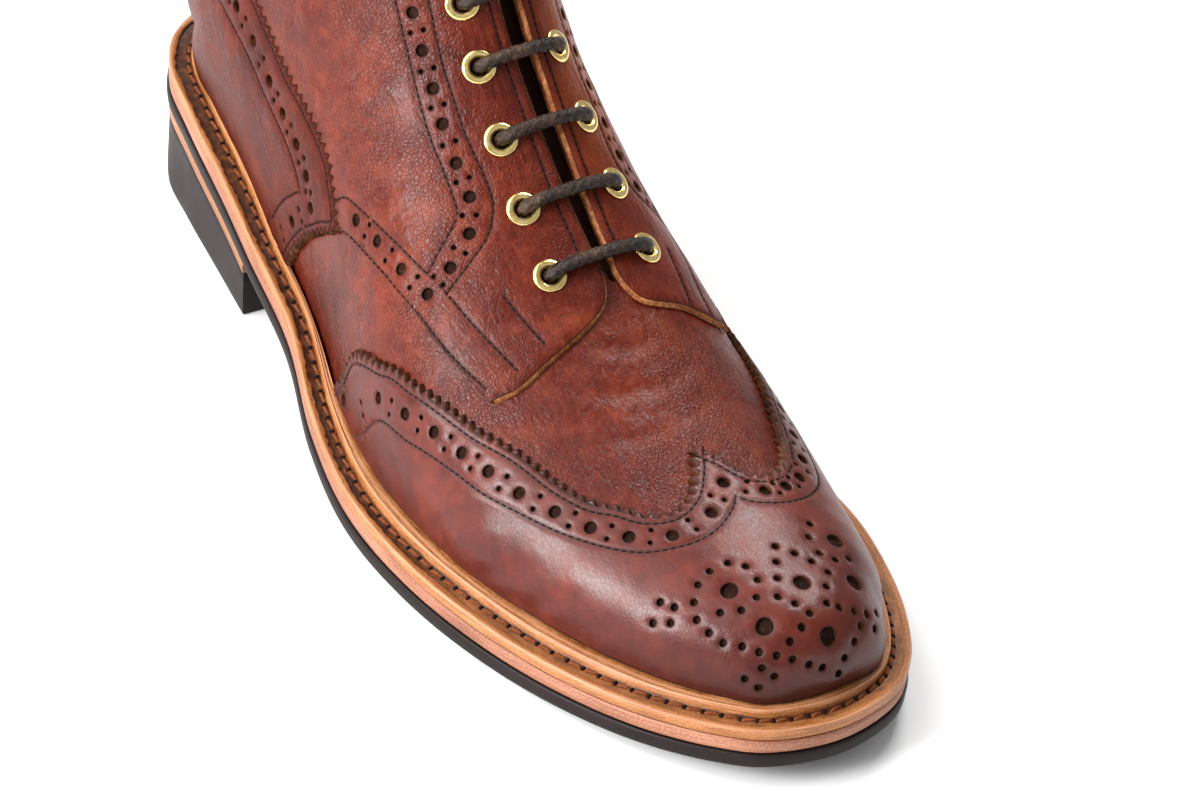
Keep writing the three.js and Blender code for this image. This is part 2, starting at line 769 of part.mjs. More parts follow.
// Quarters, open along the facing
const quarterFront = monotone(QUARTER_FRONT);
const quarterLow = monotone(QUARTER_LOW);
const quarter = (side) =>
  inside(
    leather,
    patch(
      22,
      10,
      (t, s) => {
        const k = lerp(quarterFront(s), COLLAR_ROW - 0.05, t);
        const v = lerp(THROAT_HALF_SHARE, quarterLow(k), s);
        return [k, side * v];
      },
      REGION_IN,
      REGION_OUT,
    ),
  );
add("quarter_outer", cut(quarter(1), ...bores(1)), 0x6e3023, 0.5);
add("quarter_inner", cut(quarter(-1), ...bores(-1)), 0x6e3023, 0.5);

// Heel counter that narrows into a strap up the back
const counterLow = monotone(COUNTER_LOW);
const counterFacets = new Facets();
function counterRow(round, t) {
  const bend = 5 / 14;
  if (t <= bend) return lerp(counterLow(round), FOOT_END, t / bend);
  return lerp(FOOT_END, COLLAR_ROW - 0.05, (t - bend) / (1 - bend));
}
for (const side of SIDES) {
  patchInto(
    counterFacets,
    14,
    7,
    (t, s) => {
      const round = side > 0 ? s : 1 - s;
      const k = counterRow(round, t);
      return [k, side * lerp(quarterLow(k) + 0.012, 1, round)];
    },
    REGION_IN,
    REGION_OUT,
  );
}
const counter = inside(layer(COUNTER_OVERLAY), counterFacets.geometry());
add("heel_counter", cut(counter, ribTrim), 0x602820, 0.5);

// Eyelets and the bars of the lace between them
const barRadius = LACE_DIAMETER / 2;
const barLift = EYELET_BASE + EYELET_RISE + LACE_CLEAR + barRadius;
EYELET_ROWS.forEach((k, i) => {
  const number = i + 1;
  add("eyelet_outer_" + number, turned(k, EYELET_SIDE, eyeletBody, EYELET_BASE), 0xc9a24a, 0.3, 1);
  add("eyelet_inner_" + number, turned(k, -EYELET_SIDE, eyeletBody, EYELET_BASE), 0xc9a24a, 0.3, 1);
  const path = new THREE.CatmullRomCurve3(
    [1, 0.55, 0, -0.55, -1].map((s) => skinAt(k, s * EYELET_SIDE, barLift)),
  );
  const ring = new THREE.Shape().absarc(0, 0, barRadius, 0, Math.PI * 2);
  const bar = new THREE.ExtrudeGeometry(ring, {
    steps: 6,
    curveSegments: 3,
    extrudePath: path,
  });
  bar.deleteAttribute("normal");
  bar.deleteAttribute("uv");
  add("lace_bar_" + number, tidy(mergeVertices(bar, 1e-3)), 0x33241d, 0.5);
});

export default boot;
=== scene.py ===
"""Brogue ankle boot, right foot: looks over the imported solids.

Blender is in metres, the shape functions are in millimetres.
"""
import math

import bpy
import numpy as np
from mathutils import Matrix, Vector
from mathutils.geometry import delaunay_2d_cdt


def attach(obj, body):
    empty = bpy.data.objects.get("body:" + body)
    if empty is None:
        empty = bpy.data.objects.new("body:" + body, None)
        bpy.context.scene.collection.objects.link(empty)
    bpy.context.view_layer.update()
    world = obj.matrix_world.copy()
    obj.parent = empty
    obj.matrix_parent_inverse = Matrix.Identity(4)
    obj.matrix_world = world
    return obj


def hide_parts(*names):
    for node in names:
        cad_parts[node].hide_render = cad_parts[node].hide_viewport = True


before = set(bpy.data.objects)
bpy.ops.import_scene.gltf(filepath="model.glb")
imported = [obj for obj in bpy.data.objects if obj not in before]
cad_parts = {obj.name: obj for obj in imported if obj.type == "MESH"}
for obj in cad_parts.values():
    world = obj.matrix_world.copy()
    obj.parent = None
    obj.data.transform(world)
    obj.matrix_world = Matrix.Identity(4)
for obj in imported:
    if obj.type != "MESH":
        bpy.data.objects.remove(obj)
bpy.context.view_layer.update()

RNG = np.random.default_rng(7)

# Driving sizes, the same as the solids'
SOLE_LENGTH = 311.0
SOLE_WIDTH = 113.4
BOOT_HEIGHT = 176.0
HEEL_HEIGHT_BACK = 29.5
HEEL_HEIGHT_BREAST = 18.8
HEEL_LENGTH = 85.0
TOE_SPRING = 6.8
TOE_LEAN = 0.7
OUTSOLE = 4.1
MIDSOLE = 3.8
WELT = 3.2
RIB = 2.6
LIFT = 3.8
WALL = 2.2
OVERLAY = 1.4
SEAT_GAP = 0.3
SKIN_GAP = 0.35
EYELET_ROWS = [9.23, 10.03, 10.82, 11.7, 12.51, 13.6, 15.2]
EYELET_SIDE = 0.13
COLLAR = 18.0
MID_BASE = OUTSOLE + SEAT_GAP
WELT_BASE = MID_BASE + MIDSOLE + SEAT_GAP
WELT_TOP = WELT_BASE + WELT
RIB_TOP = WELT_TOP + RIB
TOP = SKIN_GAP + OVERLAY

# front, top, foot, rise, ridge, outer, inner, widest, fullness, tuck
SECTIONS = [
    [0.9734, 0.1378, 0.9708, 0.1392, -0.0005, 0.0000, 0.0000, 0.50, 2.00, 0.50],
    [0.9688, 0.1680, 0.9664, 0.1080, -0.0005, 0.0600, 0.0680, 0.50, 2.00, 0.50],
    [0.9624, 0.1964, 0.9646, None, -0.0005, 0.1030, 0.1220, 0.42, 2.10, 0.50],
    [0.9495, 0.2168, 0.9614, None, -0.0018, 0.1440, 0.1560, 0.38, 2.20, 0.80],
    [0.9251, 0.2286, 0.9389, None, -0.0062, 0.1980, 0.1960, 0.36, 2.30, 1.00],
    [0.8867, 0.2382, 0.9003, None, -0.0132, 0.2650, 0.2619, 0.34, 2.30, 1.00],
    [0.8286, 0.2542, 0.8425, None, -0.0220, 0.3350, 0.3060, 0.32, 2.20, 1.00],
    [0.7574, 0.2851, 0.7653, None, -0.0309, 0.4010, 0.3475, 0.30, 2.10, 1.00],
    [0.6829, 0.3349, 0.6817, None, -0.0397, 0.4470, 0.3748, 0.28, 2.00, 1.00],
    [0.6148, 0.3962, 0.5981, None, -0.0397, 0.4480, 0.3669, 0.30, 2.00, 1.00],
    [0.5532, 0.4701, 0.5080, None, -0.0353, 0.4180, 0.3457, 0.33, 2.00, 1.00],
    [0.4980, 0.5578, 0.4051, None, -0.0265, 0.3651, 0.3166, 0.38, 2.00, 1.00],
    [0.4524, 0.6457, 0.2958, None, -0.0176, 0.3263, 0.2990, 0.42, 2.00, 1.00],
    [0.4197, 0.7410, 0.1608, None, -0.0088, 0.3131, 0.2981, 0.46, 2.00, 1.20],
    [0.3999, 0.8290, 0.0328, None, 0.0000, 0.3010, 0.2990, 0.48, 2.00, 0.80],
    [0.3903, 0.8977, 0.0174, 0.3409, 0.0000, 0.2960, 0.2960, 0.48, 2.10, 0.56],
    [0.3855, 0.9432, 0.0354, 0.5966, 0.0000, 0.2990, 0.3030, 0.48, 2.10, 0.55],
    [0.3823, 0.9773, 0.0482, 0.8239, 0.0000, 0.3060, 0.3090, 0.48, 2.10, 0.53],
    [0.3807, 1.0000, 0.0502, 0.9773, 0.0000, 0.3175, 0.3175, 0.48, 2.10, 0.50],
    [0.3813, 1.0640, 0.0502, 1.0400, 0.0000, 0.3224, 0.3224, 0.48, 2.10, 0.50],
]
# share of the length from the heel, and the sole's edge to the foot line
WELT_REACH = [[0.0, 10.2], [0.221, 9.6], [0.347, 7.6], [0.513, 8.2], [0.659, 9.6], [0.766, 11.0],
              [1.0, 11.0]]
# station, outer, inner
OUTLINE = [
    [0.0257, 0.1650, 0.1650],
    [0.0643, 0.2390, 0.2420],
    [0.1222, 0.2760, 0.2930],
    [0.2026, 0.3160, 0.3230],
    [0.2830, 0.3550, 0.3157],
    [0.3794, 0.3917, 0.2910],
    [0.4759, 0.4779, 0.2998],
    [0.5724, 0.5330, 0.3616],
    [0.6688, 0.5360, 0.4550],
    [0.7653, 0.4938, 0.4680],
    [0.8457, 0.4283, 0.4158],
    [0.9100, 0.3477, 0.3410],
    [0.9582, 0.2531, 0.2540],
    [0.9855, 0.1690, 0.1600],
]


def monotone(table):
    """Monotone cubic through a table of [x, y], for arrays."""
    x, y = np.array(table, float).T
    h = np.diff(x)
    s = np.diff(y) / h
    d = np.zeros(len(x))
    for i in range(1, len(x) - 1):
        if s[i - 1] * s[i] > 0:
            a, b = 2 * h[i] + h[i - 1], h[i] + 2 * h[i - 1]
            d[i] = (a + b) / (a / s[i - 1] + b / s[i])

    def end(h0, h1, s0, s1):
        v = ((2 * h0 + h1) * s0 - h0 * s1) / (h0 + h1)
        if v * s0 <= 0:
            return 0.0
        return 3 * s0 if s0 * s1 < 0 and abs(v) > 3 * abs(s0) else v

    d[0], d[-1] = end(h[0], h[1], s[0], s[1]), end(h[-1], h[-2], s[-1], s[-2])

    def at(t):
        t = np.clip(np.asarray(t, float), x[0], x[-1])
        i = np.clip(np.searchsorted(x, t, side="right") - 1, 0, len(h) - 1)
        p = (t - x[i]) / h[i]
        q = 1 - p
        return (y[i] * (1 + 2 * p) * q * q + d[i] * h[i] * p * q * q
                + y[i + 1] * p * p * (3 - 2 * p) - d[i + 1] * h[i] * p * p * q)

    return at


def smooth(a, b, x):
    t = np.clip((np.asarray(x, float) - a) / (b - a), 0, 1)
    return t * t * (3 - 2 * t)


def arc_length(line):
    """Distance along a line at each of its points."""
    return np.r_[0, np.cumsum(np.linalg.norm(np.diff(line, axis=0), axis=1))]


def resampled(at, s, line):
    """A line's points at new places along it, where s holds its own places."""
    return np.stack([np.interp(at, s, c) for c in line.T], 1)


def turns(n):
    """Angles at n even steps round a circle."""
    return np.arange(n) / n * 2 * np.pi


def closed_curve(points, per):
    """Closed centripetal curve through points, with per samples a span."""
    p = np.array(points, float)
    n = len(p)
    out = []
    for i in range(n):
        p0, p1, p2, p3 = p[i - 1], p[i], p[(i + 1) % n], p[(i + 2) % n]
        a, b, c = (max(np.linalg.norm(q - r) ** 0.5, 1e-4) for q, r in ((p1, p0), (p2, p1), (p3, p2)))
        m1 = ((p1 - p0) / a - (p2 - p0) / (a + b) + (p2 - p1) / b) * b
        m2 = ((p2 - p1) / b - (p3 - p1) / (b + c) + (p3 - p2) / c) * b
        t = np.arange(per)[:, None] / per
        out.append(p1 + m1 * t + (-3 * p1 + 3 * p2 - 2 * m1 - m2) * t**2
                   + (2 * p1 - 2 * p2 + m1 + m2) * t**3)
    return np.vstack(out)


def outline_run(per=14):
    o = np.array(OUTLINE)
    pts = [(0, 0)] + [(u * SOLE_LENGTH, a * SOLE_WIDTH) for u, a, _ in o] + [(SOLE_LENGTH, TOE_LEAN)]
    pts += [(u * SOLE_LENGTH, -b * SOLE_WIDTH) for u, _, b in o[::-1]]
    return closed_curve(pts, per)


def inward(run):
    t = np.roll(run, -1, 0) - np.roll(run, 1, 0)
    n = np.c_[t[:, 1], -t[:, 0]]
    return n / np.linalg.norm(n, axis=1)[:, None]


RUN = outline_run()
NRM = inward(RUN)
CENTRE = (RUN[:, 1].max() + RUN[:, 1].min()) / 2


REACH_AT = monotone(WELT_REACH)


def welt_reach(u):
    return REACH_AT(np.asarray(u) / SOLE_LENGTH)


def sole_bottom(u):
    u = np.asarray(u, float) / SOLE_LENGTH
    s = np.clip((u - 0.219) / 0.411, 0, 1)
    slope = (HEEL_HEIGHT_BACK - HEEL_HEIGHT_BREAST) / HEEL_LENGTH
    heel = HEEL_HEIGHT_BACK - slope * u * SOLE_LENGTH
    return heel * (1 - s * s * (3 - 2 * s)) + TOE_SPRING * np.clip((u - 0.698) / 0.302, 0, 2) ** 1.9


def over_sole(p):
    """Height of points over the sole's bottom."""
    return p[..., 2] - sole_bottom(SOLE_LENGTH / 2 - p[..., 1])


def halves(run):
    lo, hi = np.argmin(run[:, 0]), np.argmax(run[:, 0])
    r = np.roll(run, -lo, 0)
    k = (hi - lo) % len(run)
    a, b = r[: k + 1], np.vstack([r[k:], r[:1]])[::-1]
    return (a, b) if a[len(a) // 2, 1] > b[len(b) // 2, 1] else (b, a)


FOOT = halves(RUN + NRM * welt_reach(RUN[:, 0])[:, None])
FOOT_BACK, FOOT_TIP = FOOT[0][0], FOOT[0][-1]


def column_tables():
    cols = []
    for c in range(10):
        t = []
        for i, row in enumerate(SECTIONS):
            v = row[c]
            if c in (0, 2):
                v = v * SOLE_LENGTH
            elif c == 1:
                v = v * BOOT_HEIGHT
            elif c == 3:
                v = float(sole_bottom(row[2] * SOLE_LENGTH)) + WELT_BASE if v is None else v * BOOT_HEIGHT
            elif c < 7:
                v = v * SOLE_WIDTH
            t.append([i, v])
        cols.append(monotone(t))
    return cols


COLS = column_tables()
LAST_ROW = len(SECTIONS) - 1
LOWER = 1 / 3


def skin(k, v):
    """Points on the last's skin at row k, and v from -1 (inner foot line) over the ridge to 1."""
    k, v = np.broadcast_arrays(np.asarray(k, float), np.asarray(v, float))
    front, top, foot, rise, ridge, outer, inner, widest, full, tuck = (f(k) for f in COLS)
    is_open = (k >= 2) & (k <= 14)
    foot = np.where(is_open, np.clip(foot, FOOT_BACK[0], FOOT_TIP[0]), foot)
    rise = np.where(is_open, sole_bottom(foot) + WELT_BASE, rise)
    a = np.abs(v)
    wide = np.where(v >= 0, outer, -inner)
    side = np.where(v >= 0, np.interp(foot, *FOOT[0].T), np.interp(foot, *FOOT[1].T))
    base = np.where((k > 2) & (k < 14), side, np.where(k <= 2, FOOT_TIP[1], FOOT_BACK[1]))
    up = 1 - LOWER
    ang = np.pi / 2 * (1 - np.clip(a / up, 0, 1))
    h1 = widest + (1 - widest) * np.sin(ang) ** (2 / full)
    x1 = ridge + (wide - ridge) * np.clip(np.cos(ang), 0, 1) ** (2 / full)
    t = 1 - np.cos(np.pi / 2 * np.clip((1 - a) / LOWER, 0, 1))
    h2 = widest * t
    x2 = base + (wide - base) * np.clip(1 - (1 - t) ** 2, 0, 1) ** tuck
    h = np.where(a <= up, h1, h2)
    x = np.where(a <= up, x1, x2)
    u = foot + (front - foot) * h
    return np.stack([CENTRE - x, SOLE_LENGTH / 2 - u, rise + (top - rise) * h], -1)


def normals(k, v, dk=0.03, dv=0.006):
    k, v = np.broadcast_arrays(np.asarray(k, float), np.asarray(v, float))

    def raw(k, v):
        a = skin(np.minimum(k + dk, LAST_ROW), v) - skin(np.maximum(k - dk, 0), v)
        b = skin(k, np.minimum(v + dv, 1)) - skin(k, np.maximum(v - dv, -1))
        n = np.cross(a, b)
        return n / (np.linalg.norm(n, axis=-1)[..., None] + 1e-12)

    row = np.maximum(k, 0.3)
    n = raw(row, v)
    seam = (np.abs(v) > 0.995) & ((k <= 2) | (k >= 14))
    if seam.any():
        both = raw(row, np.full(v.shape, 0.995)) + raw(row, np.full(v.shape, -0.995))
        both /= np.linalg.norm(both, axis=-1)[..., None]
        n = np.where(seam[..., None], both, n)
    return n


# Meshes
def crease_lines():
    """Soft folds as [row, side] lines with half width and depth in mm; a negative depth is a ridge."""
    return [
        ([(8.05, 0.20), (7.75, 0.12), (7.65, 0.02), (7.80, -0.10)], 2.2, 0.38),
        ([(8.40, 0.14), (8.15, 0.05), (8.20, -0.06)], 2.0, 0.30),
        ([(7.45, 0.24), (7.20, 0.13), (7.20, 0.04)], 1.8, 0.26),
        ([(8.30, 0.40), (7.95, 0.30), (7.70, 0.24)], 2.4, 0.34),
        ([(9.30, 0.66), (9.00, 0.56), (8.75, 0.50)], 2.6, 0.36),
        ([(8.30, 0.74), (8.00, 0.62), (7.70, 0.54), (7.30, 0.48)], 2.8, 0.42),
        ([(7.70, 0.80), (7.30, 0.66), (6.90, 0.58)], 2.6, 0.36),
        ([(7.00, 0.78), (6.70, 0.66), (6.30, 0.56)], 2.4, 0.28),
        ([(10.40, 0.86), (10.10, 0.70), (9.70, 0.60)], 2.8, 0.34),
        ([(8.20, -0.70), (7.90, -0.58), (7.50, -0.50)], 2.8, 0.42),
        ([(7.40, -0.76), (7.00, -0.62), (6.70, -0.54)], 2.6, 0.34),
        ([(13.10, 0.62), (12.60, 0.50), (12.30, 0.40), (12.20, 0.33)], 4.0, 0.55),
        ([(12.30, 0.56), (11.90, 0.46), (11.70, 0.36)], 3.4, 0.42),
        ([(13.90, 0.54), (13.40, 0.44), (13.10, 0.36)], 4.2, 0.50),
        ([(11.30, 0.48), (11.10, 0.40), (10.95, 0.32)], 3.0, 0.34),
        ([(13.10, -0.62), (12.60, -0.50), (12.30, -0.38)], 4.0, 0.52),
        ([(13.90, -0.54), (13.40, -0.42), (13.10, -0.34)], 4.2, 0.46),
        ([(12.00, -0.54), (11.70, -0.42), (11.60, -0.34)], 3.2, 0.38),
        ([(13.60, 0.86), (13.00, 0.76), (12.60, 0.72)], 3.4, 0.34),
        ([(14.60, 0.80), (14.20, 0.72), (13.80, 0.66)], 3.6, 0.34),
        ([(14.60, -0.80), (14.20, -0.70), (13.80, -0.64)], 3.6, 0.34),
        ([(15.6, 0.56), (15.3, 0.44), (15.1, 0.34)], 4.6, 0.34),
        ([(15.6, -0.56), (15.3, -0.44), (15.1, -0.34)], 4.6, 0.34),
    ]


CREASES = []
for line, width, depth in crease_lines():
    pts = skin(*np.array(line).T)
    t = np.linspace(0, 1, 40)
    s = np.linspace(0, 1, len(pts))
    CREASES.append((resampled(t, s, pts), width, depth))


def relief(points):
    """Height of the creases and a slow hand-lasted waviness, in mm."""
    p = points.reshape(-1, 3)
    out = np.zeros(len(p))
    for line, width, depth in CREASES:
        lo, hi = line.min(0) - 3 * width, line.max(0) + 3 * width
        near = np.nonzero(((p > lo) & (p < hi)).all(1))[0]
        if not len(near):
            continue
        d = np.linalg.norm(p[near, None] - line[None], axis=2)
        j = d.argmin(1)
        d = d[np.arange(len(near)), j] / width
        fade = np.sin(np.pi * np.clip(j / (len(line) - 1), 0.02, 0.98)) ** 0.7
        out[near] += depth * fade * (0.45 * np.exp(-((d - 1.5) ** 2) * 1.6) - np.exp(-d * d))
    w = 0.10 * np.sin(p[:, 1] * 0.21 + p[:, 2] * 0.13) * np.sin(p[:, 0] * 0.17 - p[:, 2] * 0.19 + 1.3)
    w += 0.07 * np.sin(p[:, 1] * 0.43 - p[:, 2] * 0.31 + 2.1) * np.sin(p[:, 0] * 0.37 + p[:, 1] * 0.11)
    return (out + w).reshape(points.shape[:-1])


def on_skin(k, v, off):
    """Points off mm out of the skin, with the creases."""
    p = skin(k, v)
    n = normals(k, v)
    fade = np.asarray(1 - smooth(17.2, 17.9, k)) * smooth(0.1, 1.0, k)
    return p + n * (np.asarray(off) + relief(p) * fade)[..., None]


def piece(name, points, faces, mats, index=None, marks=None, uv=None, angle=40, stands=()):
    """Adds a mesh piece, from points in mm. One that stands for solids is named after them."""
    name += "_piece" if stands else ""
    mesh = bpy.data.meshes.new(name)
    mesh.from_pydata((np.asarray(points) / 1000).tolist(), [], [tuple(map(int, f)) for f in faces])
    for m in mats:
        mesh.materials.append(m)
    if index is not None:
        mesh.polygons.foreach_set("material_index", np.asarray(index, dtype=np.int32))
    if uv is not None:
        loops = np.zeros(len(mesh.loops), dtype=np.int32)
        mesh.loops.foreach_get("vertex_index", loops)
        layer = mesh.uv_layers.new(name="UVMap")
        layer.data.foreach_set("uv", np.asarray(uv, np.float32)[loops].ravel())
    for key, values in (marks or {}).items():
        a = mesh.attributes.new(key, "FLOAT", "POINT")
        a.data.foreach_set("value", np.asarray(values, np.float32))
    mesh.update()
    mesh.shade_smooth()
    mesh.set_sharp_from_angle(angle=math.radians(angle))
    o = bpy.data.objects.new(name, mesh)
    bpy.context.scene.collection.objects.link(o)
    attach(o, "root")
    if stands:
        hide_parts(*stands)
    return o


def grid_faces(ids, wrap=False):
    """Quads over a grid of vertex numbers."""
    a = ids[:-1, :-1].ravel()
    b = ids[:-1, 1:].ravel()
    c = ids[1:, 1:].ravel()
    d = ids[1:, :-1].ravel()
    f = np.stack([a, b, c, d], 1)
    if wrap:
        e = np.stack([ids[:-1, -1], ids[:-1, 0], ids[1:, 0], ids[1:, -1]], 1)
        f = np.vstack([f, e])
    return f


# Materials
class Nodes:
    """Short way to build a node material."""

    def __init__(self, name):
        self.mat = bpy.data.materials.new(name)
        self.mat.use_nodes = True
        self.tree = self.mat.node_tree
        self.bsdf = next(n for n in self.tree.nodes if n.type == "BSDF_PRINCIPLED")
        self.coord = self.tree.nodes.new("ShaderNodeTexCoord")

    def node(self, kind):
        return self.tree.nodes.new(kind)

    def link(self, a, b):
        self.tree.links.new(a, b)

    def mapped(self, scale, space="Object"):
        m = self.node("ShaderNodeMapping")
        m.inputs["Scale"].default_value = scale if hasattr(scale, "__len__") else (scale,) * 3
        self.link(self.coord.outputs[space], m.inputs["Vector"])
        return m.outputs[0]

    def noise(self, scale, detail=3.0, rough=0.5, vector=None, warp=0.0):
        n = self.node("ShaderNodeTexNoise")
        n.inputs["Scale"].default_value = scale
        n.inputs["Detail"].default_value = detail
        n.inputs["Roughness"].default_value = rough
        n.inputs["Distortion"].default_value = warp
        self.link(vector or self.coord.outputs["Object"], n.inputs["Vector"])
        return n.outputs["Fac"]

    def cells(self, scale):
        n = self.node("ShaderNodeTexVoronoi")
        n.feature = "DISTANCE_TO_EDGE"
        n.inputs["Scale"].default_value = scale
        self.link(self.coord.outputs["Object"], n.inputs["Vector"])
        return n.outputs["Distance"]

    def attribute(self, name):
        n = self.node("ShaderNodeAttribute")
        n.attribute_name = name
        return n.outputs["Fac"]

    def ramp(self, value, stops):
        n = self.node("ShaderNodeValToRGB")
        e = n.color_ramp.elements
        while len(e) < len(stops):
            e.new(0.5)
        for el, (pos, col) in zip(e, stops):
            el.position = pos
            el.color = (*col, 1) if hasattr(col, "__len__") else (col, col, col, 1)
        self.link(value, n.inputs[0])
        return n.outputs[0]

    def range(self, value, a, b, c, d):
        n = self.node("ShaderNodeMapRange")
        for i, x in enumerate((a, b, c, d)):
            n.inputs[i + 1].default_value = x
        self.link(value, n.inputs[0])
        return n.outputs[0]

    def mix(self, a, b, fac):
        n = self.node("ShaderNodeMix")
        n.data_type = "RGBA"
        for value, i in ((fac, 0), (a, 6), (b, 7)):
            if hasattr(value, "is_linked"):
                self.link(value, n.inputs[i])
            else:
                n.inputs[i].default_value = (*value, 1) if hasattr(value, "__len__") else value
        return n.outputs[2]

    def math(self, op, a, b=0.0):
        n = self.node("ShaderNodeMath")
        n.operation = op
        for i, value in enumerate((a, b)):
            if hasattr(value, "is_linked"):
                self.link(value, n.inputs[i])
            else:
                n.inputs[i].default_value = value
        return n.outputs[0]

    def times(self, a, b):
        return self.math("MULTIPLY", a, b)

    def plus(self, a, b):
        return self.math("ADD", a, b)

    def blend(self, a, share_a, b, share_b):
        return self.plus(self.times(a, share_a), self.times(b, share_b))

    def swing(self, value, share):
        """A noise's swing about its middle."""
        return self.times(self.math("SUBTRACT", value, 0.5), share)

    def bump(self, height, strength, distance, normal=None):
        n = self.node("ShaderNodeBump")
        n.inputs["Strength"].default_value = strength
        n.inputs["Distance"].default_value = distance
        self.link(height, n.inputs["Height"])
        if normal is not None:
            self.link(normal, n.inputs["Normal"])
        return n.outputs[0]

    def out(self, colour=None, rough=None, normal=None, **constants):
        for key, value in (("Base Color", colour), ("Roughness", rough), ("Normal", normal)):
            if value is None:
                continue
            if hasattr(value, "is_linked"):
                self.link(value, self.bsdf.inputs[key])
            else:
                self.bsdf.inputs[key].default_value = (*value, 1) if hasattr(value, "__len__") else value
        for key, value in constants.items():
            self.bsdf.inputs[key.replace("_", " ")].default_value = value
        return self.mat


def leather(name, light, mid, dark, deep, grain=1.0, gloss=0.34, streak=0.5, coat=0.03, shine=0.30,
            sheen=0.24):
    """Pull-up leather: mottled, darker where that mark is high (burnished, with painted shade), with
    pebbles, pits and wrinkles.
    """
    m = Nodes(name)
    big = m.noise(24, 3, 0.55, warp=0.6)
    fine = m.noise(190, 4, 0.62)
    tone = m.blend(big, 0.55, fine, 0.45)
    colour = m.ramp(tone, [(0.33, dark), (0.49, mid), (0.64, light)])
    warm = m.attribute("warm")
    colour = m.mix(colour, (0.230, 0.046, 0.007), m.times(warm, m.range(tone, 0.3, 0.7, 0.45, 0.95)))
    lines = m.noise(1.0, 5, 0.7, vector=m.mapped((900, 260, 200)), warp=0.3)
    pale = m.range(lines, 0.56, 0.74, 0.0, streak)
    colour = m.mix(colour, tuple(min(1, c * 1.7 + 0.012) for c in light), pale)
    # Darker towards the deep colour where the mark is high: burnished leather with painted shade near the
    # welt and at the toe's tip.
    mark = m.attribute("burnish_and_shade")
    soft = m.plus(mark, m.swing(big, 0.5))
    colour = m.mix(colour, deep, m.range(soft, 0.15, 1.0, 0.0, 0.85))
    cell = m.cells(880)
    pebble = m.range(cell, 0.0, 0.20, 0.0, 1.0)
    patch = m.range(m.noise(38, 2, 0.5), 0.40, 0.58, 0.0, 1.0)
    pores = m.range(m.noise(1500, 2, 0.5), 0.36, 0.48, 0.0, 1.0)
    wrinkle = m.noise(1.0, 3, 0.55, vector=m.mapped((260, 120, 120)), warp=0.4)
    folds = m.noise(1.0, 3, 0.6, vector=m.mapped((1150, 300, 420)), warp=0.5)
    calm = m.range(mark, 0.25, 0.9, 1.0, 0.25)
    n1 = m.bump(wrinkle, 0.30 * grain, 0.0022)
    n2 = m.bump(m.times(folds, calm), 0.36 * grain, 0.0005, n1)
    n3 = m.bump(m.times(m.times(pebble, patch), calm), 0.36 * grain, 0.00025, n2)
    n4 = m.bump(pores, 0.10 + 0.15 * grain, 0.0001, n3)
    rough = m.range(m.plus(fine, m.times(pebble, -0.25)), 0.05, 0.75, gloss - 0.08, gloss + 0.14)
    crack = m.times(m.range(cell, 0.0, 0.06, 0.40 * grain, 0.0), m.times(patch, calm))
    colour = m.mix(colour, deep, crack)
    colour = m.mix(colour, deep, m.range(pores, 0.0, 0.6, 0.35 * grain, 0.0))
    # Painted shade: near-black where the groove mark is high, on lowered cut edges, hole rims and seam
    # lines.
    colour = m.mix(colour, (0.010, 0.003, 0.002), m.times(m.attribute("groove"), 0.85))
    rough = m.plus(rough, m.times(m.attribute("groove"), 0.3))
    m.link(n4, m.bsdf.inputs["Coat Normal"])
    return m.out(colour, rough, n4, IOR=1.46, Specular_IOR_Level=sheen, Coat_Weight=coat,
                 Coat_Roughness=shine)


LIGHT, MID = (0.158, 0.022, 0.006), (0.090, 0.0085, 0.0024)
DARK, DEEP = (0.048, 0.004, 0.0016), (0.019, 0.002, 0.0012)
# Colours are light, middle, dark and the deep one for burnished leather and painted shade (also cracks
# and pores); the numbers are leather's from grain on
M_UPPER = leather("upper_leather", LIGHT, MID, DARK, DEEP)
M_INNER = leather("inner_leather", (0.200, 0.029, 0.0075), (0.122, 0.0125, 0.0032),
                  (0.066, 0.0056, 0.0020), DEEP, 0.8, 0.36, 0.4, 0.02, 0.3, 0.18)
M_COUNTER = leather("counter_leather", (0.118, 0.0160, 0.0048), (0.066, 0.0062, 0.0020),
                    (0.036, 0.0031, 0.0014), (0.015, 0.0016, 0.0011), 0.7, 0.42, 0.35, 0.02, 0.3, 0.10)
M_TOE = leather("toe_leather", (0.140, 0.0160, 0.0048), (0.086, 0.0074, 0.0024), (0.048, 0.0040, 0.0016),
                (0.019, 0.0019, 0.0012), 0.20, 0.36, 0.15, 0.08, 0.28, 0.36)
# The tongue's colours are far darker than the upper's: painted shade of the throat under the facings, in
# part.
M_TONGUE = leather("tongue_leather", (0.045, 0.013, 0.008), (0.030, 0.009, 0.006), (0.018, 0.0055, 0.004),
                   (0.01, 0.003, 0.0025), 0.8, 0.55, 0.1, 0.03, 0.3, 0.2)


def raw_edge(name, a, b, c, rough=0.62):
    """Cut leather edge: tan fibres in the given tones, dark where dyed; the dark sets below are partly
    painted shade.
    """
    m = Nodes(name)
    tone = m.noise(900, 4, 0.65)
    wide = m.noise(120, 3, 0.5)
    colour = m.ramp(m.blend(tone, 0.6, wide, 0.4), [(0.34, a), (0.5, b), (0.64, c)])
    return m.out(colour, rough, m.bump(tone, 0.5, 0.0003), Specular_IOR_Level=0.12)


M_RAW = raw_edge("raw_edge", (0.085, 0.022, 0.008), (0.26, 0.085, 0.026), (0.46, 0.20, 0.075))
# Dark walls of gimped and plain cut edges and of punched holes: dyed edge with painted shade between the
# teeth and in the holes.
M_GIMP_SHADE = raw_edge("gimped_edge_shade", (0.016, 0.0045, 0.0015), (0.045, 0.013, 0.004), (0.13, 0.046, 0.014))
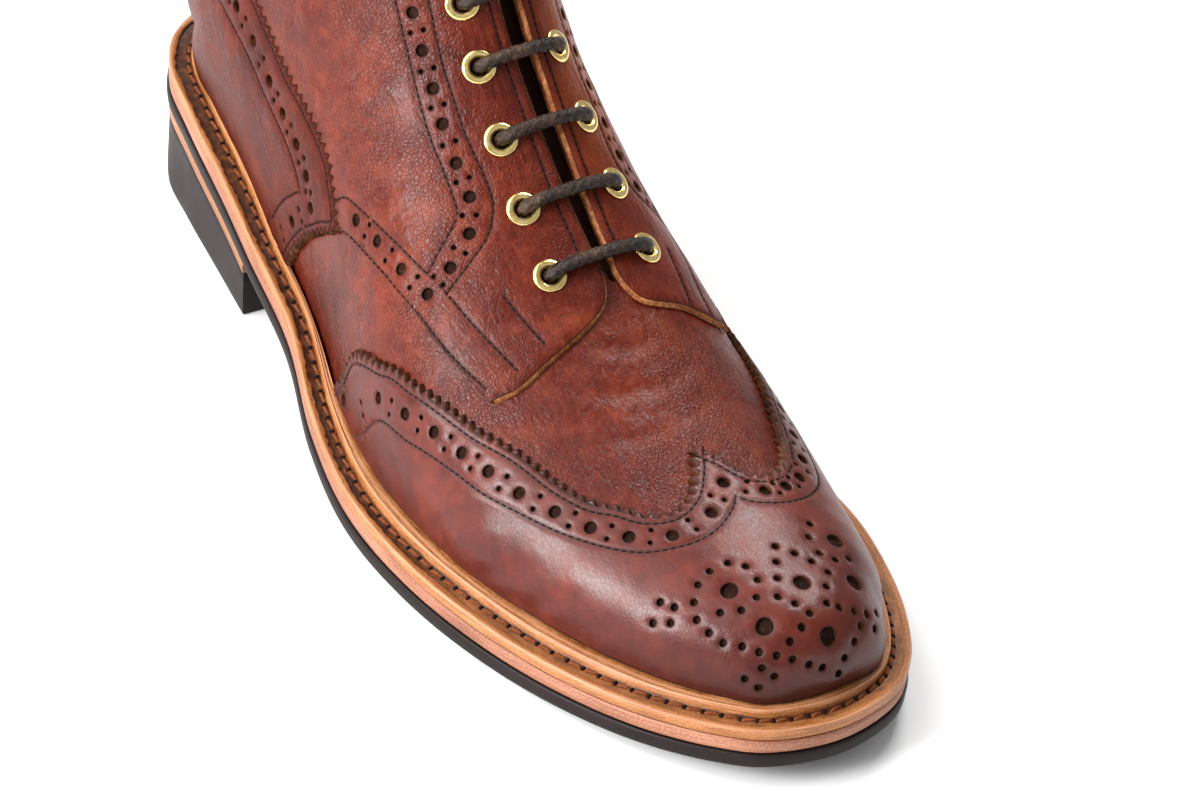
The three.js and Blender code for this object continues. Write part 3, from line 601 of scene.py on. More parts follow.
# Near-black hole floors and overlay undersides: painted shade for the leather seen down the punched
# holes.
M_HOLE_SHADE = raw_edge("punched_floor_shade", (0.008, 0.0025, 0.0015), (0.018, 0.006, 0.003), (0.045, 0.017, 0.008),
                  0.9)


def lining(name):
    m = Nodes(name)
    fine = m.noise(420, 4, 0.6)
    big = m.noise(22, 3, 0.5)
    colour = m.ramp(m.blend(fine, 0.5, big, 0.5),
                    [(0.32, (0.40, 0.225, 0.115)), (0.50, (0.53, 0.325, 0.175)),
                     (0.68, (0.62, 0.41, 0.24))])
    return m.out(colour, 0.62, m.bump(m.noise(1300, 3, 0.6), 0.3, 0.0002))


M_LINING = lining("lining_leather")


def thread(name, a, b):
    m = Nodes(name)
    colour = m.ramp(m.noise(2600, 2, 0.6), [(0.35, a), (0.65, b)])
    return m.out(colour, 0.75, m.bump(m.noise(3800, 2, 0.5), 0.4, 0.0002), Specular_IOR_Level=0.08)


M_THREAD = thread("upper_thread", (0.006, 0.002, 0.0012), (0.022, 0.007, 0.004))


def welt_leather(name):
    """Veg-tan strip: golden rim lightened by wear and painted highlight, dark stained groove with painted
    shade, pale rib with fine compression lines and painted highlight on its crests.
    """
    m = Nodes(name)
    streaks = m.noise(1.0, 5, 0.7, vector=m.mapped((70, 1100, 1), "UV"))
    fibre = m.noise(1.0, 4, 0.7, vector=m.mapped((1300, 1900, 1), "UV"))
    tan = m.ramp(m.blend(streaks, 0.5, fibre, 0.5),
                 [(0.37, (0.17, 0.046, 0.008)), (0.49, (0.35, 0.118, 0.024)),
                  (0.60, (0.54, 0.225, 0.070))])
    # Darker where this mark is high: dyed dark, with painted shade in the stitch groove and where the
    # welt meets the upper.
    stain_and_shade = m.attribute("stain_and_shade")
    patchy = m.plus(stain_and_shade, m.swing(m.noise(170, 4, 0.65), 0.9))
    dye_and_shade = m.ramp(m.noise(420, 4, 0.6),
                 [(0.35, (0.026, 0.007, 0.002)), (0.52, (0.085, 0.022, 0.004)),
                  (0.68, (0.22, 0.066, 0.012))])
    colour = m.mix(tan, dye_and_shade, m.range(patchy, 0.35, 0.70, 0.0, 1.0))
    # Lighter where the rim mark is high: wear with painted highlight on the top edge and the rib's
    # crests.
    rim = m.attribute("rim")
    wear_and_highlight = m.plus(rim, m.swing(streaks, 1.6))
    colour = m.mix(colour, (0.54, 0.25, 0.13), m.range(wear_and_highlight, 0.25, 1.1, 0.0, 0.8))
    press = m.noise(1.0, 4, 0.62, vector=m.mapped((160, 2400, 1), "UV"), warp=0.8)
    colour = m.mix(colour, (0.20, 0.065, 0.02), m.range(press, 0.26, 0.40, 0.38, 0.0))
    n1 = m.bump(press, 0.5, 0.0006)
    n2 = m.bump(fibre, 0.4, 0.0003, n1)
    return m.out(colour, m.range(streaks, 0.3, 0.7, 0.36, 0.52), n2, Coat_Weight=0.1, Coat_Roughness=0.3)


M_WELT = welt_leather("welt_leather")


def stacked_edge(name, light, mid, dark, rough=0.48):
    """Edge of compressed sole leather: fine lines along it, with scuffs."""
    m = Nodes(name)
    lines = m.noise(1.0, 5, 0.7, vector=m.mapped((55, 1500, 1), "UV"))
    spots = m.noise(1.0, 4, 0.75, vector=m.mapped((1500, 2100, 1), "UV"))
    wide = m.noise(1.0, 3, 0.5, vector=m.mapped((26, 90, 1), "UV"))
    tone = m.plus(m.blend(lines, 0.25, spots, 0.5), m.times(wide, 0.25))
    colour = m.ramp(tone, [(0.40, dark), (0.50, mid), (0.59, light)])
    return m.out(colour, m.range(spots, 0.3, 0.7, rough - 0.06, rough + 0.12), m.bump(tone, 0.4, 0.0005))


M_MIDSOLE = stacked_edge("edge_leather", (0.50, 0.23, 0.135), (0.31, 0.115, 0.060), (0.15, 0.048, 0.024))
M_LIFT = stacked_edge("lift_leather", (0.50, 0.235, 0.11), (0.34, 0.135, 0.05), (0.19, 0.065, 0.022))


def rubber(name):
    m = Nodes(name)
    grain = m.noise(900, 3, 0.6)
    wide = m.noise(60, 3, 0.5)
    colour = m.ramp(m.blend(grain, 0.4, wide, 0.6),
                    [(0.35, (0.008, 0.0042, 0.004)), (0.55, (0.014, 0.0078, 0.0075)),
                     (0.72, (0.024, 0.014, 0.014))])
    return m.out(colour, m.range(wide, 0.3, 0.7, 0.46, 0.60), m.bump(grain, 0.18, 0.0002),
                 Specular_IOR_Level=0.2)


M_RUBBER = rubber("sole_rubber")


def brass(name):
    m = Nodes(name)
    tone = m.noise(700, 3, 0.5)
    colour = m.ramp(tone, [(0.35, (0.82, 0.58, 0.19)), (0.65, (0.95, 0.75, 0.34))])
    return m.out(colour, m.range(tone, 0.3, 0.7, 0.16, 0.27), m.bump(m.noise(1500, 2, 0.5), 0.05, 0.0001),
                 Metallic=1.0)


M_BRASS = brass("eyelet_brass")


def waxed(name):
    m = Nodes(name)
    tone = m.noise(1500, 3, 0.6)
    wear = m.noise(140, 3, 0.6)
    colour = m.ramp(m.blend(tone, 0.5, wear, 0.5),
                    [(0.38, (0.008, 0.0032, 0.0014)), (0.52, (0.022, 0.0095, 0.0045)),
                     (0.64, (0.085, 0.042, 0.021))])
    return m.out(colour, m.range(wear, 0.3, 0.7, 0.26, 0.42), m.bump(m.noise(2600, 2, 0.6), 0.7, 0.0005),
                 Specular_IOR_Level=0.35)


M_LACE = waxed("lace_cord")


# Sole
FINE = outline_run(40)
FINE_N = inward(FINE)


def rim_stations(n):
    """Stations up the outer side from heel to toe, then up the inner side, as points, normals and arc."""
    lo, hi = np.argmin(FINE[:, 0]), np.argmax(FINE[:, 0])
    p, q = np.roll(FINE, -lo, 0), np.roll(FINE_N, -lo, 0)
    k = (hi - lo) % len(FINE)
    sides = []
    for a, b in ((p[: k + 1], q[: k + 1]),
                 (np.vstack([p[k:], p[:1]])[::-1], np.vstack([q[k:], q[:1]])[::-1])):
        s = arc_length(a)
        at = (np.arange(n) + 0.5) / n * s[-1]
        sides.append([resampled(at, s, c) for c in (a, b)] + [at])
    if sides[0][0][n // 2, 1] < sides[1][0][n // 2, 1]:
        sides.reverse()
    return sides


SIDE_N = 230
(OUT_P, OUT_N, OUT_S), (IN_P, IN_N, IN_S) = rim_stations(SIDE_N)
LOOP_P = np.vstack([OUT_P, IN_P[::-1]])
LOOP_N = np.vstack([OUT_N, IN_N[::-1]])
LOOP_S = np.r_[OUT_S, OUT_S[-1] * 2 + IN_S[-1] - OUT_S[-1] - IN_S[::-1]]


def to_place(ux, z):
    return np.stack([CENTRE - ux[..., 1], SOLE_LENGTH / 2 - ux[..., 0], z], -1)


def sole_ring(profile):
    """Rings of points round the sole for a profile of (inset, level)."""
    rings = []
    for inset, level in profile:
        ux = LOOP_P + LOOP_N * inset
        rings.append(to_place(ux, sole_bottom(ux[:, 0]) + level))
    return np.array(rings)


def slab(name, profile, mats, stands, columns=14):
    """Closed layer of the sole: a rounded edge, a top and a bottom."""
    rings = sole_ring(profile)
    r, n = rings.shape[:2]
    ids = np.arange(r * n).reshape(r, n)
    pts = [rings.reshape(-1, 3)]
    faces = [grid_faces(ids, wrap=True)]
    total = r * n
    lengths = arc_length(rings[:, 0])
    uv = [np.stack([np.broadcast_to(LOOP_S / 1000, (r, n)).ravel(), np.repeat(lengths / 1000, n)], 1)]
    h = n // 2
    for row, (inset, level), down in ((0, profile[0], True), (r - 1, profile[-1], False)):
        a = LOOP_P[:h] + LOOP_N[:h] * inset
        b = (LOOP_P[h:] + LOOP_N[h:] * inset)[::-1]
        t = np.linspace(0, 1, columns)[1:-1]
        mid = a[:, None] * (1 - t)[None, :, None] + b[:, None] * t[None, :, None]
        inner = to_place(mid, sole_bottom(mid[..., 0]) + level)
        new = total + np.arange(inner.shape[0] * inner.shape[1]).reshape(inner.shape[:2])
        pts.append(inner.reshape(-1, 3))
        uv.append(inner.reshape(-1, 3)[:, :2] / 1000)
        total += new.size
        full = np.c_[ids[row, :h], new, ids[row, h:][::-1]]
        f = grid_faces(full)
        faces.append(f[:, ::-1] if down else f)
    faces = np.vstack(faces)
    pts = np.vstack(pts)
    return piece(name, pts, orient(pts, faces), mats, uv=np.vstack(uv), stands=stands)


def orient(points, faces):
    """Turns all faces round if the closed mesh faces in."""
    p = points[faces]
    m = (p[:, 0] + p[:, 2]) / 2
    c = np.cross(p[:, 2] - p[:, 0], p[:, 3] - p[:, 1])
    return faces if (m * c).sum() > 0 else faces[:, ::-1]


MID_TOP = WELT_BASE - SEAT_GAP
# Each row is the edge's inset and its level over the sole's bottom
OUTSOLE_EDGE = [(4.0, 0.0), (0.9, 0.0), (0.45, 0.15), (0.2, 0.5), (0.08, 1.2), (0.03, 2.6), (0.1, 3.6),
                (0.4, 4.0),
                (1.3, OUTSOLE)]
MIDSOLE_EDGE = [(1.4, MID_BASE), (0.75, MID_BASE + 0.12), (0.5, MID_BASE + 0.5), (0.4, MID_BASE + 1.4),
                (0.4, MID_BASE + 2.4), (0.5, MID_TOP - 0.45), (0.75, MID_TOP - 0.1), (1.4, MID_TOP)]
slab("outsole", OUTSOLE_EDGE, [M_RUBBER], ["outsole"])
slab("midsole", MIDSOLE_EDGE, [M_MIDSOLE], ["midsole"])


def skin_reach(level):
    """Distance from the sole's edge in to the skin at a level, for each station."""
    found = []
    for side in (1, -1):
        k = np.r_[np.linspace(0.02, 2, 60), np.linspace(2.02, 13.98, 420), np.linspace(14, 15, 60)]
        v = np.linspace(0.55, 1, 160) * side
        kk, vv = np.meshgrid(k, v, indexing="ij")
        p = skin(kk, vv)
        h = over_sole(p) - level
        for i in range(len(k)):
            c = np.nonzero((h[i, :-1] > 0) & (h[i, 1:] <= 0))[0]
            if len(c):
                j = c[0]
                t = h[i, j] / (h[i, j] - h[i, j + 1])
                q = p[i, j] * (1 - t) + p[i, j + 1] * t
                found.append((SOLE_LENGTH / 2 - q[1], CENTRE - q[0]))
    found = np.array(found)
    d = np.linalg.norm(found[:, None] - LOOP_P[None], axis=2).argmin(1)
    inset = ((found - LOOP_P[d]) * LOOP_N[d]).sum(1)
    out = np.full(len(LOOP_P), np.nan)
    for j, x in zip(d, inset):
        out[j] = x if np.isnan(out[j]) else min(out[j], x)
    good = np.nonzero(~np.isnan(out))[0]
    s = np.arange(len(LOOP_P))
    full = np.interp(s, np.r_[good - len(s), good, good + len(s)], np.tile(out[good], 3))
    for _ in range(6):
        full = (np.roll(full, 1) + full * 2 + np.roll(full, -1)) / 4
    return full


REACH = welt_reach(LOOP_P[:, 0])
SKIN_LOW = np.minimum(skin_reach(WELT_BASE + 0.4), REACH)
SKIN_MID = skin_reach(WELT_TOP + 0.5)
SKIN_RIB = skin_reach(RIB_TOP)
RIB_OUT = REACH * np.interp(LOOP_P[:, 0] / SOLE_LENGTH, [0, 0.3, 0.45, 0.6, 0.75, 1],
                            [0.62, 0.64, 0.66, 0.57, 0.51, 0.50])


def toeward(share):
    """From 0 behind the waist to 1 round the toe."""
    return smooth(0.50, 0.78, share)


def groove_level(toe):
    """Bottom of the stitch groove, which is shallower round the toe."""
    return WELT_TOP - 1.15 + 0.65 * toe


def welt_piece():
    wave = 0.10 * np.sin(LOOP_S / 17.0) + 0.07 * np.sin(LOOP_S / 6.3 + 1.0)
    share = LOOP_P[:, 0] / SOLE_LENGTH
    toe = toeward(share)
    torn = (RNG.random(len(LOOP_P)) - 0.5) * (0.75 - 0.45 * toe)
    inner = np.maximum(SKIN_RIB - 0.6, RIB_OUT + 1.5)
    deep = groove_level(toe)
    lip = 1.75 + 0.3 * toe + wave * 0.5 + torn
    lip = np.minimum(lip, RIB_OUT - 1.9)
    mid = (inner + RIB_OUT) / 2
    # Inset, height, stained darkness (with painted shade in the stitch groove and against the upper) and
    # rim lightness (wear with painted highlight on the top edge and rib crests) of each row across the
    # welt
    rows = [
        (1.6, WELT_BASE, 0, 0),
        (0.7, WELT_BASE + 0.1, 0, 0.1),
        (0.3, WELT_BASE + 0.35, 0, 0.1),
        (0.2, WELT_BASE + 1.3, 0, 0.2),
        (0.2, WELT_TOP - 0.7, 0, 0.4),
        (0.3, WELT_TOP - 0.25, 0, 1.0),
        (0.55, WELT_TOP - 0.05, 0, 0.9),
        (1.0, WELT_TOP, 0, 0.35),
        (lip, WELT_TOP - 0.06, 0.1 * (1 - toe), 0.3),
        (lip + 0.3, WELT_TOP - 0.35, 0.6 - 0.3 * toe, 0),
        (lip + 0.55, deep + 0.15, 1.0 - 0.55 * toe, 0),
        (RIB_OUT - 1.0, deep, 1.0 - 0.45 * toe, 0),
        (RIB_OUT - 0.35, deep + 0.05, 1.0 - 0.3 * toe, 0),
        (RIB_OUT - 0.1, WELT_TOP, 0.75, 0),
        (RIB_OUT + 0.05, WELT_TOP + 1.0, 0.25, 0.2),
        (RIB_OUT + 0.2, RIB_TOP - 0.45, 0.05, 0.7),
        (RIB_OUT + 0.5, RIB_TOP - 0.08, 0, 1.2),
        (RIB_OUT * 0.65 + mid * 0.35, RIB_TOP - 0.05, 0, 0.9),
        (RIB_OUT * 0.4 + mid * 0.6, RIB_TOP - 0.3, 0.2, 0.3),
        (RIB_OUT * 0.1 + mid * 0.9, RIB_TOP - 0.02, 0, 1.1),
        (mid * 0.55 + inner * 0.45, RIB_TOP - 0.3, 0.2, 0.3),
        (inner - 0.35, RIB_TOP - 0.08, 0, 0.8),
        (inner - 0.1, RIB_TOP - 0.3, 0.35, 0),
        (inner, RIB_TOP - 0.9, 0.9, 0),
        (np.minimum(SKIN_MID - 0.55, inner + 0.8), WELT_TOP + 0.4, 1, 0),
        (np.minimum(SKIN_LOW - 0.5, REACH), WELT_BASE + 0.5, 1, 0),
        (np.minimum(SKIN_LOW - 0.5, REACH), WELT_BASE, 1, 0),
    ]
    rings = []
    for i, (d, h, _, _) in enumerate(rows):
        ux = LOOP_P + LOOP_N * np.broadcast_to(d, len(LOOP_P))[:, None]
        rings.append(to_place(ux, sole_bottom(ux[:, 0]) + h + (wave * 0.4 if 4 < i < 22 else 0)))
    rings = np.array(rings)
    r, n = rings.shape[:2]
    ids = np.arange(r * n).reshape(r, n)
    faces = np.vstack([grid_faces(ids, wrap=True), grid_faces(ids[[-1, 0]], wrap=True)])
    pts = rings.reshape(-1, 3)
    arc = arc_length(rings[:, 0])
    uv = np.stack([np.broadcast_to(LOOP_S / 1000, (r, n)).ravel(), np.repeat(arc / 1000, n)], 1)
    stain_and_shade, rim = (np.concatenate([np.broadcast_to(row[c], n) for row in rows]) for c in (2, 3))
    marks = {"stain_and_shade": stain_and_shade, "rim": rim}
    faces = orient(pts, faces)
    piece("welt", pts, faces, [M_WELT], uv=uv, marks=marks, stands=["welt"],
          angle=60)


welt_piece()


def capsule(n=8):
    """Thread loop along +X, one unit long and one unit thick, pressed in at its ends."""
    rows = [(-0.5, -0.9, 0.25), (-0.40, -0.25, 0.8), (-0.2, 0.0, 1.0), (0.0, 0.08, 1.0), (0.2, 0.0, 1.0),
            (0.40, -0.25, 0.8), (0.5, -0.9, 0.25)]
    a = turns(n)
    p = np.array([[(x, np.cos(t) * r, z + np.sin(t) * r) for t in a] for x, z, r in rows])
    ids = np.arange(p.shape[0] * n).reshape(-1, n)
    return p.reshape(-1, 3), grid_faces(ids, wrap=True)


def stitches(name, centres, along, out, length, radius, mat, twist=0.0, n=7):
    """One piece of many thread loops."""
    base, quads = capsule(n)
    along = along / np.linalg.norm(along, axis=1)[:, None]
    out = out - (out * along).sum(1)[:, None] * along
    out /= np.linalg.norm(out, axis=1)[:, None]
    side = np.cross(out, along)
    if twist:
        along = along * math.cos(twist) + side * math.sin(twist)
        side = np.cross(out, along)
    jitter = 1 + 0.10 * (RNG.random(len(centres)) - 0.5)
    pts = (centres[:, None] + base[None, :, :1] * length * jitter[:, None, None] * along[:, None]
           + base[None, :, 1:2] * radius * side[:, None] + base[None, :, 2:] * radius * out[:, None])
    faces = quads[None] + (np.arange(len(centres)) * len(base))[:, None, None]
    pts, faces = pts.reshape(-1, 3), faces.reshape(-1, 4)
    return piece(name, pts, orient(pts, faces), [mat], angle=80)


M_WELT_THREAD = thread("welt_thread", (0.090, 0.022, 0.008), (0.26, 0.080, 0.030))
# Dark prick pieces between the welt stitches: painted shade standing for the dents.
M_PRICK_SHADE = thread("welt_prick_shade", (0.008, 0.003, 0.002), (0.020, 0.008, 0.005))


def welt_stitches():
    pitch = 4.9
    total = LOOP_S[-1] + np.linalg.norm(LOOP_P[0] - LOOP_P[-1])
    n = int(total / pitch)
    s = (np.arange(n) + 0.5) / n * total
    round_trip = np.r_[LOOP_S, total]

    def at(s, d, h):
        p = [np.interp(s, round_trip, np.r_[a, a[:1]]) for a in (LOOP_P + LOOP_N * d[:, None]).T]
        ux = np.stack(p, 1)
        return to_place(ux, sole_bottom(ux[:, 0]) + h)

    d = RIB_OUT - 0.62
    share = LOOP_P[:, 0] / SOLE_LENGTH
    level = groove_level(toeward(share)) + 0.28
    level = np.interp(s, round_trip, np.r_[level, level[:1]])
    c = at(s, d, level)
    t = at(s + 1, d, 0) - at(s - 1, d, 0)
    up = np.tile([0.0, 0.0, 1.0], (n, 1))
    stitches("welt_stitches", c, t, up, pitch * 0.84, 0.52, M_WELT_THREAD, twist=0.16)
    # Dark pricks between stitches: painted shade of the prick dents.
    c = at(s + pitch / 2, d, level - 0.1)
    t = at(s + pitch / 2 + 1, d, WELT_TOP) - at(s + pitch / 2 - 1, d, WELT_TOP)
    stitches("welt_pricks", c, np.cross(t, up), up, 1.7, 0.55, M_PRICK_SHADE)


welt_stitches()


# Heel
def heel_block(name, profile, mats, stands):
    """Layer of the heel with a straight breast."""
    arc_n, breast_n = 151, 22
    rings = []
    for inset, level, cut in profile:
        run = FINE + FINE_N * inset
        lo = np.argmin(run[:, 0])
        run = np.roll(run, -lo, 0)
        front = HEEL_LENGTH - cut
        ends = []
        for seq in (run, np.vstack([run[:1], run[::-1]])):
            i = np.argmax(seq[:, 0] > front)
            t = (front - seq[i - 1, 0]) / (seq[i, 0] - seq[i - 1, 0])
            ends.append(np.vstack([seq[:i], seq[i - 1] * (1 - t) + seq[i] * t]))
        a, b = ends
        path = np.vstack([a[::-1], b[1:]])
        s = arc_length(path)
        at = np.linspace(0, s[-1], arc_n + 1)
        arc = resampled(at, s, path)
        t = np.linspace(0, 1, breast_n + 2)[1:-1, None]
        line = arc[-1] * (1 - t) + arc[0] * t
        ux = np.vstack([arc, line])
        rings.append(to_place(ux, level(ux[:, 0]) if callable(level) else np.full(len(ux), level)))
    rings = np.array(rings)
    r, n = rings.shape[:2]
    ids = np.arange(r * n).reshape(r, n)
    faces = [grid_faces(ids, wrap=True)]
    pts = [rings.reshape(-1, 3)]
    total = r * n
    half = (arc_n + 1) // 2
    for row, down in ((0, True), (r - 1, False)):
        level = profile[row][1]
        a = rings[row, :half]
        b = rings[row, arc_n + 1 - half: arc_n + 1][::-1]
        t = np.linspace(0, 1, breast_n + 2)[1:-1]
        mid = a[:, None] * (1 - t)[None, :, None] + b[:, None] * t[None, :, None]
        if callable(level):
            mid[..., 2] = level(SOLE_LENGTH / 2 - mid[..., 1])
        new = np.empty((half, breast_n), int)
        new[0] = ids[row, arc_n + 1:][::-1]
        new[1:] = total + np.arange((half - 1) * breast_n).reshape(half - 1, breast_n)
        pts.append(mid[1:].reshape(-1, 3))
        total += (half - 1) * breast_n
        full = np.c_[ids[row, :half], new, ids[row, arc_n + 1 - half: arc_n + 1][::-1]]
        f = grid_faces(full)
        faces.append(f[:, ::-1] if down else f)
    pts = np.vstack(pts)
    faces = np.vstack(faces)
    lengths = arc_length(rings[:, 40])
    s = np.linspace(0, 0.20, n)
    uv = np.stack([np.broadcast_to(s, (r, n)).ravel(), np.repeat(lengths / 1000, n)], 1)
    uv = np.vstack([uv, pts[r * n:, :2] / 1000])
    return piece(name, pts, orient(pts, faces), mats, uv=uv, stands=stands)


def above(h):
    """Level h mm under the heel's seat, as a function of the station."""
    return lambda u: sole_bottom(u) - SEAT_GAP - h


def piece_top(h):
    """Level h mm under the lift, as a function of the station."""
    return lambda u: sole_bottom(u) - SEAT_GAP * 2 - LIFT - h


# Each row is the edge's inset, its level, and how far back the breast is cut
LIFT_EDGE = [(1.5, above(LIFT), 0.9), (0.95, above(LIFT - 0.12), 0.3), (0.8, above(LIFT - 0.5), 0.0),
             (0.7, above(LIFT - 1.5), 0.0), (0.62, above(2.02), 0.0), (1.0, above(1.95), 0.25),
             (1.0, above(1.82), 0.25), (0.62, above(1.75), 0.0), (0.6, above(0.9), 0.0),
             (0.7, above(0.35), 0.0),
             (0.95, above(0.08), 0.3), (1.5, above(0.0), 0.9)]
TOP_PIECE_EDGE = [(2.9, 0.0, 1.0), (2.1, 0.1, 0.4), (1.75, 0.5, 0.12), (1.6, 1.4, 0.0), (1.5, 3.0, 0.0),
                  (1.38, 6.0, 0.0), (1.25, piece_top(3.0), 0.0), (1.1, piece_top(0.6), 0.0),
                  (1.3, piece_top(0.12), 0.2), (1.9, piece_top(0.0), 0.9)]
heel_block("heel_lift", LIFT_EDGE, [M_LIFT], ["heel_lift"])
heel_block("heel_top_piece", TOP_PIECE_EDGE, [M_RUBBER], ["heel_top_piece"])


# Upper
EDGE_OUTER = monotone([[8.90, 0.020], [9.10, 0.028], [9.6, 0.030], [11.9, 0.034], [14, 0.034],
                       [18, 0.036]])
EDGE_INNER = monotone([[8.90, -0.003], [9.10, -0.006], [9.6, -0.012], [10.5, -0.024], [11.9, -0.038],
                       [14, -0.040], [18, -0.040]])
SLIT = 8.95


def burnish_and_shade(points):
    """Darkening, partly burnished leather and partly painted shade: near the welt, at the toe's tip and
    down the back.
    """
    u = SOLE_LENGTH / 2 - points[..., 1]
    h = points[..., 2] - sole_bottom(u) - RIB_TOP
    low = 1 - smooth(0.0, 15.0, h)
    toe = smooth(SOLE_LENGTH * 0.80, SOLE_LENGTH * 0.985, u)
    heel = (1 - smooth(0, 66, u)) * (1 - smooth(30, 80, h)) * 0.35
    return np.clip(0.40 * low + 0.48 * toe + heel, 0, 1)


def warmth(points):
    """Redder brown at the inner facing and the throat."""
    u = SOLE_LENGTH / 2 - points[..., 1]
    side = CENTRE - points[..., 0]
    top = smooth(70, 92, points[..., 2])
    return top * (1 - smooth(-16, -2, side)) * (1 - smooth(158, 180, u)) * 0.9


def upper_piece():
    k = np.unique(np.r_[np.linspace(0, 2, 22), np.linspace(2, 8.9, 92), SLIT, np.linspace(9.0, 14, 84),
                        np.linspace(14, COLLAR, 70)])
    s = np.linspace(0, 1, 78)
    rows, cols = len(k), len(s)
    slit = k > SLIT - 1e-6
    layers, numbers, total = [], {}, 0
    for layer, off in (("out", 0.0), ("in", -WALL)):
        for side in (1, -1):
            edge = np.where(slit, EDGE_OUTER(k) + 0.004 if side > 0 else -EDGE_INNER(k) + 0.004, 0.0)
            edge = np.where(k < SLIT + 0.12, edge * (k >= SLIT) * 0.6, edge)
            v = edge[:, None] + (1 - edge[:, None]) * s[None]
            p = on_skin(np.broadcast_to(k[:, None], v.shape), side * v, off)
            if layer == "in":
                u = SOLE_LENGTH / 2 - p[..., 1]
                p[..., 2] = np.maximum(p[..., 2], sole_bottom(u) + WELT_BASE)
            ids = total + np.arange(rows * cols).reshape(rows, cols)
            total += rows * cols
            if side < 0:
                ids[~slit, 0] = numbers[layer, 1][~slit, 0]
                shut = (k <= 2) | (k >= 14)
                ids[shut, -1] = numbers[layer, 1][shut, -1]
            numbers[layer, side] = ids
            layers.append(p.reshape(-1, 3))
    pts = np.vstack(layers)
    faces, index = [], []

    def put(f, m):
        faces.append(f)
        index.append(np.full(len(f), m))

    for side in (1, -1):
        o, i = numbers["out", side], numbers["in", side]
        flip = side < 0
        f, g = grid_faces(o), grid_faces(i)
        put(f if flip else f[:, ::-1], 0)
        put(g[:, ::-1] if flip else g, 1)
        a = np.nonzero(slit)[0]
        e = np.stack([o[a[:-1], 0], i[a[:-1], 0], i[a[1:], 0], o[a[1:], 0]], 1)
        put(e if flip else e[:, ::-1], 2)
        t = np.stack([o[-1, :-1], o[-1, 1:], i[-1, 1:], i[-1, :-1]], 1)
        put(t[:, ::-1] if flip else t, 2)
    faces, index = np.vstack(faces), np.concatenate(index)
    used = np.unique(faces)
    new = np.full(len(pts), -1)
    new[used] = np.arange(len(used))
    pts, faces = pts[used], new[faces]
    piece("upper", pts, orient(pts, faces), [M_UPPER, M_LINING, M_RAW], index,
          marks={"burnish_and_shade": burnish_and_shade(pts)},
          stands=["upper"], angle=55)


upper_piece()


# Pattern pieces
class Chart:
    """Flat map of part of the skin, near true size, turned round the toe or straight along rows."""

    def __init__(self, turned=False, back=False):
        self.turned, self.back = turned, back
        k = np.linspace(0, 12, 241)
        ridge = skin(k, 0.0)
        self.k = k
        self.rho = arc_length(ridge)
        self.w = 1 - 0.5 * smooth(1.0, 9.0, k)

    def from_kv(self, kv):
        k, v = np.asarray(kv, float).T
        if self.turned:
            r, a = np.interp(k, self.k, self.rho), np.pi * v * np.interp(k, self.k, self.w)
            return np.stack([r * np.cos(a), r * np.sin(a)], 1)
        if self.back:
            v = np.where(v < 0, v + 2, v)
        return np.stack([k * 15.0, v * 110.0], 1)

    def places(self, table, side=1):
        """A table of (row, side) on the map; side -1 mirrors it."""
        return self.from_kv([(k, side * v) for k, v in table])

    def run(self, table, side=1):
        """The smooth line through such a table."""
        return flow(self.places(table, side))

    def to_kv(self, xy):
        if self.turned:
            r = np.hypot(xy[:, 0], xy[:, 1])
            k = np.interp(r, self.rho, self.k)
            return np.stack([k, np.arctan2(xy[:, 1], xy[:, 0]) / np.pi / np.interp(k, self.k, self.w)], 1)
        k, v = xy[:, 0] / 15.0, xy[:, 1] / 110.0
        if self.back:
            v = np.where(v > 1, v - 2, v)
        return np.stack([k, v], 1)

    def to3(self, xy):
        return skin(*self.to_kv(xy).T)

    def metric(self, xy):
        h = 0.08
        a = (self.to3(xy + [h, 0]) - self.to3(xy - [h, 0])) / (2 * h)
        b = (self.to3(xy + [0, h]) - self.to3(xy - [0, h])) / (2 * h)
        aa, ab, bb = (a * a).sum(1), (a * b).sum(1), (b * b).sum(1)
        return np.stack([np.stack([aa, ab], 1), np.stack([ab, bb], 1)], 1)

    def circle(self, centre, radius, n, turn=0.0):
        g = self.metric(centre[None])[0]
        w, q = np.linalg.eigh(g)
        root = q @ np.diag(1 / np.sqrt(np.maximum(w, 0.05))) @ q.T
        a = turn + turns(n)
        return centre + (np.c_[np.cos(a), np.sin(a)] * radius) @ root.T

    def sideways(self, line, d):
        """A line moved d mm to its left, over the surface."""
        line = line.copy()
        steps = max(1, math.ceil(abs(d) / 1.2))
        for _ in range(steps):
            t = np.gradient(line, axis=0)
            m = np.stack([-t[:, 1], t[:, 0]], 1)
            g = self.metric(line)
            n = np.linalg.solve(g, m[..., None])[..., 0]
            n /= np.sqrt(np.einsum("ni,nij,nj->n", n, g, n))[:, None]
            line = line + n * (d / steps)
        return line

    def spaced(self, line, pitch):
        """A line's points at an even pitch in mm over the surface."""
        p = self.to3(line)
        s = arc_length(p)
        n = max(1, int(round(s[-1] / pitch)))
        at = np.linspace(0.0, s[-1], n + 1)
        return resampled(at, s, line)


def flow(points, n=24):
    """Smooth open line through points."""
    p = np.asarray(points, float)
    p = np.vstack([2 * p[0] - p[1], p, 2 * p[-1] - p[-2]])
    out = []
    for i in range(1, len(p) - 2):
        t = np.arange(n)[:, None] / n
        a, b, c, d = p[i - 1], p[i], p[i + 1], p[i + 2]
        square, cube = 2 * a - 5 * b + 4 * c - d, -a + 3 * b - 3 * c + d
        out.append(0.5 * (2 * b + (c - a) * t + square * t**2 + cube * t**3))
    return np.vstack(out + [p[-2:-1]])


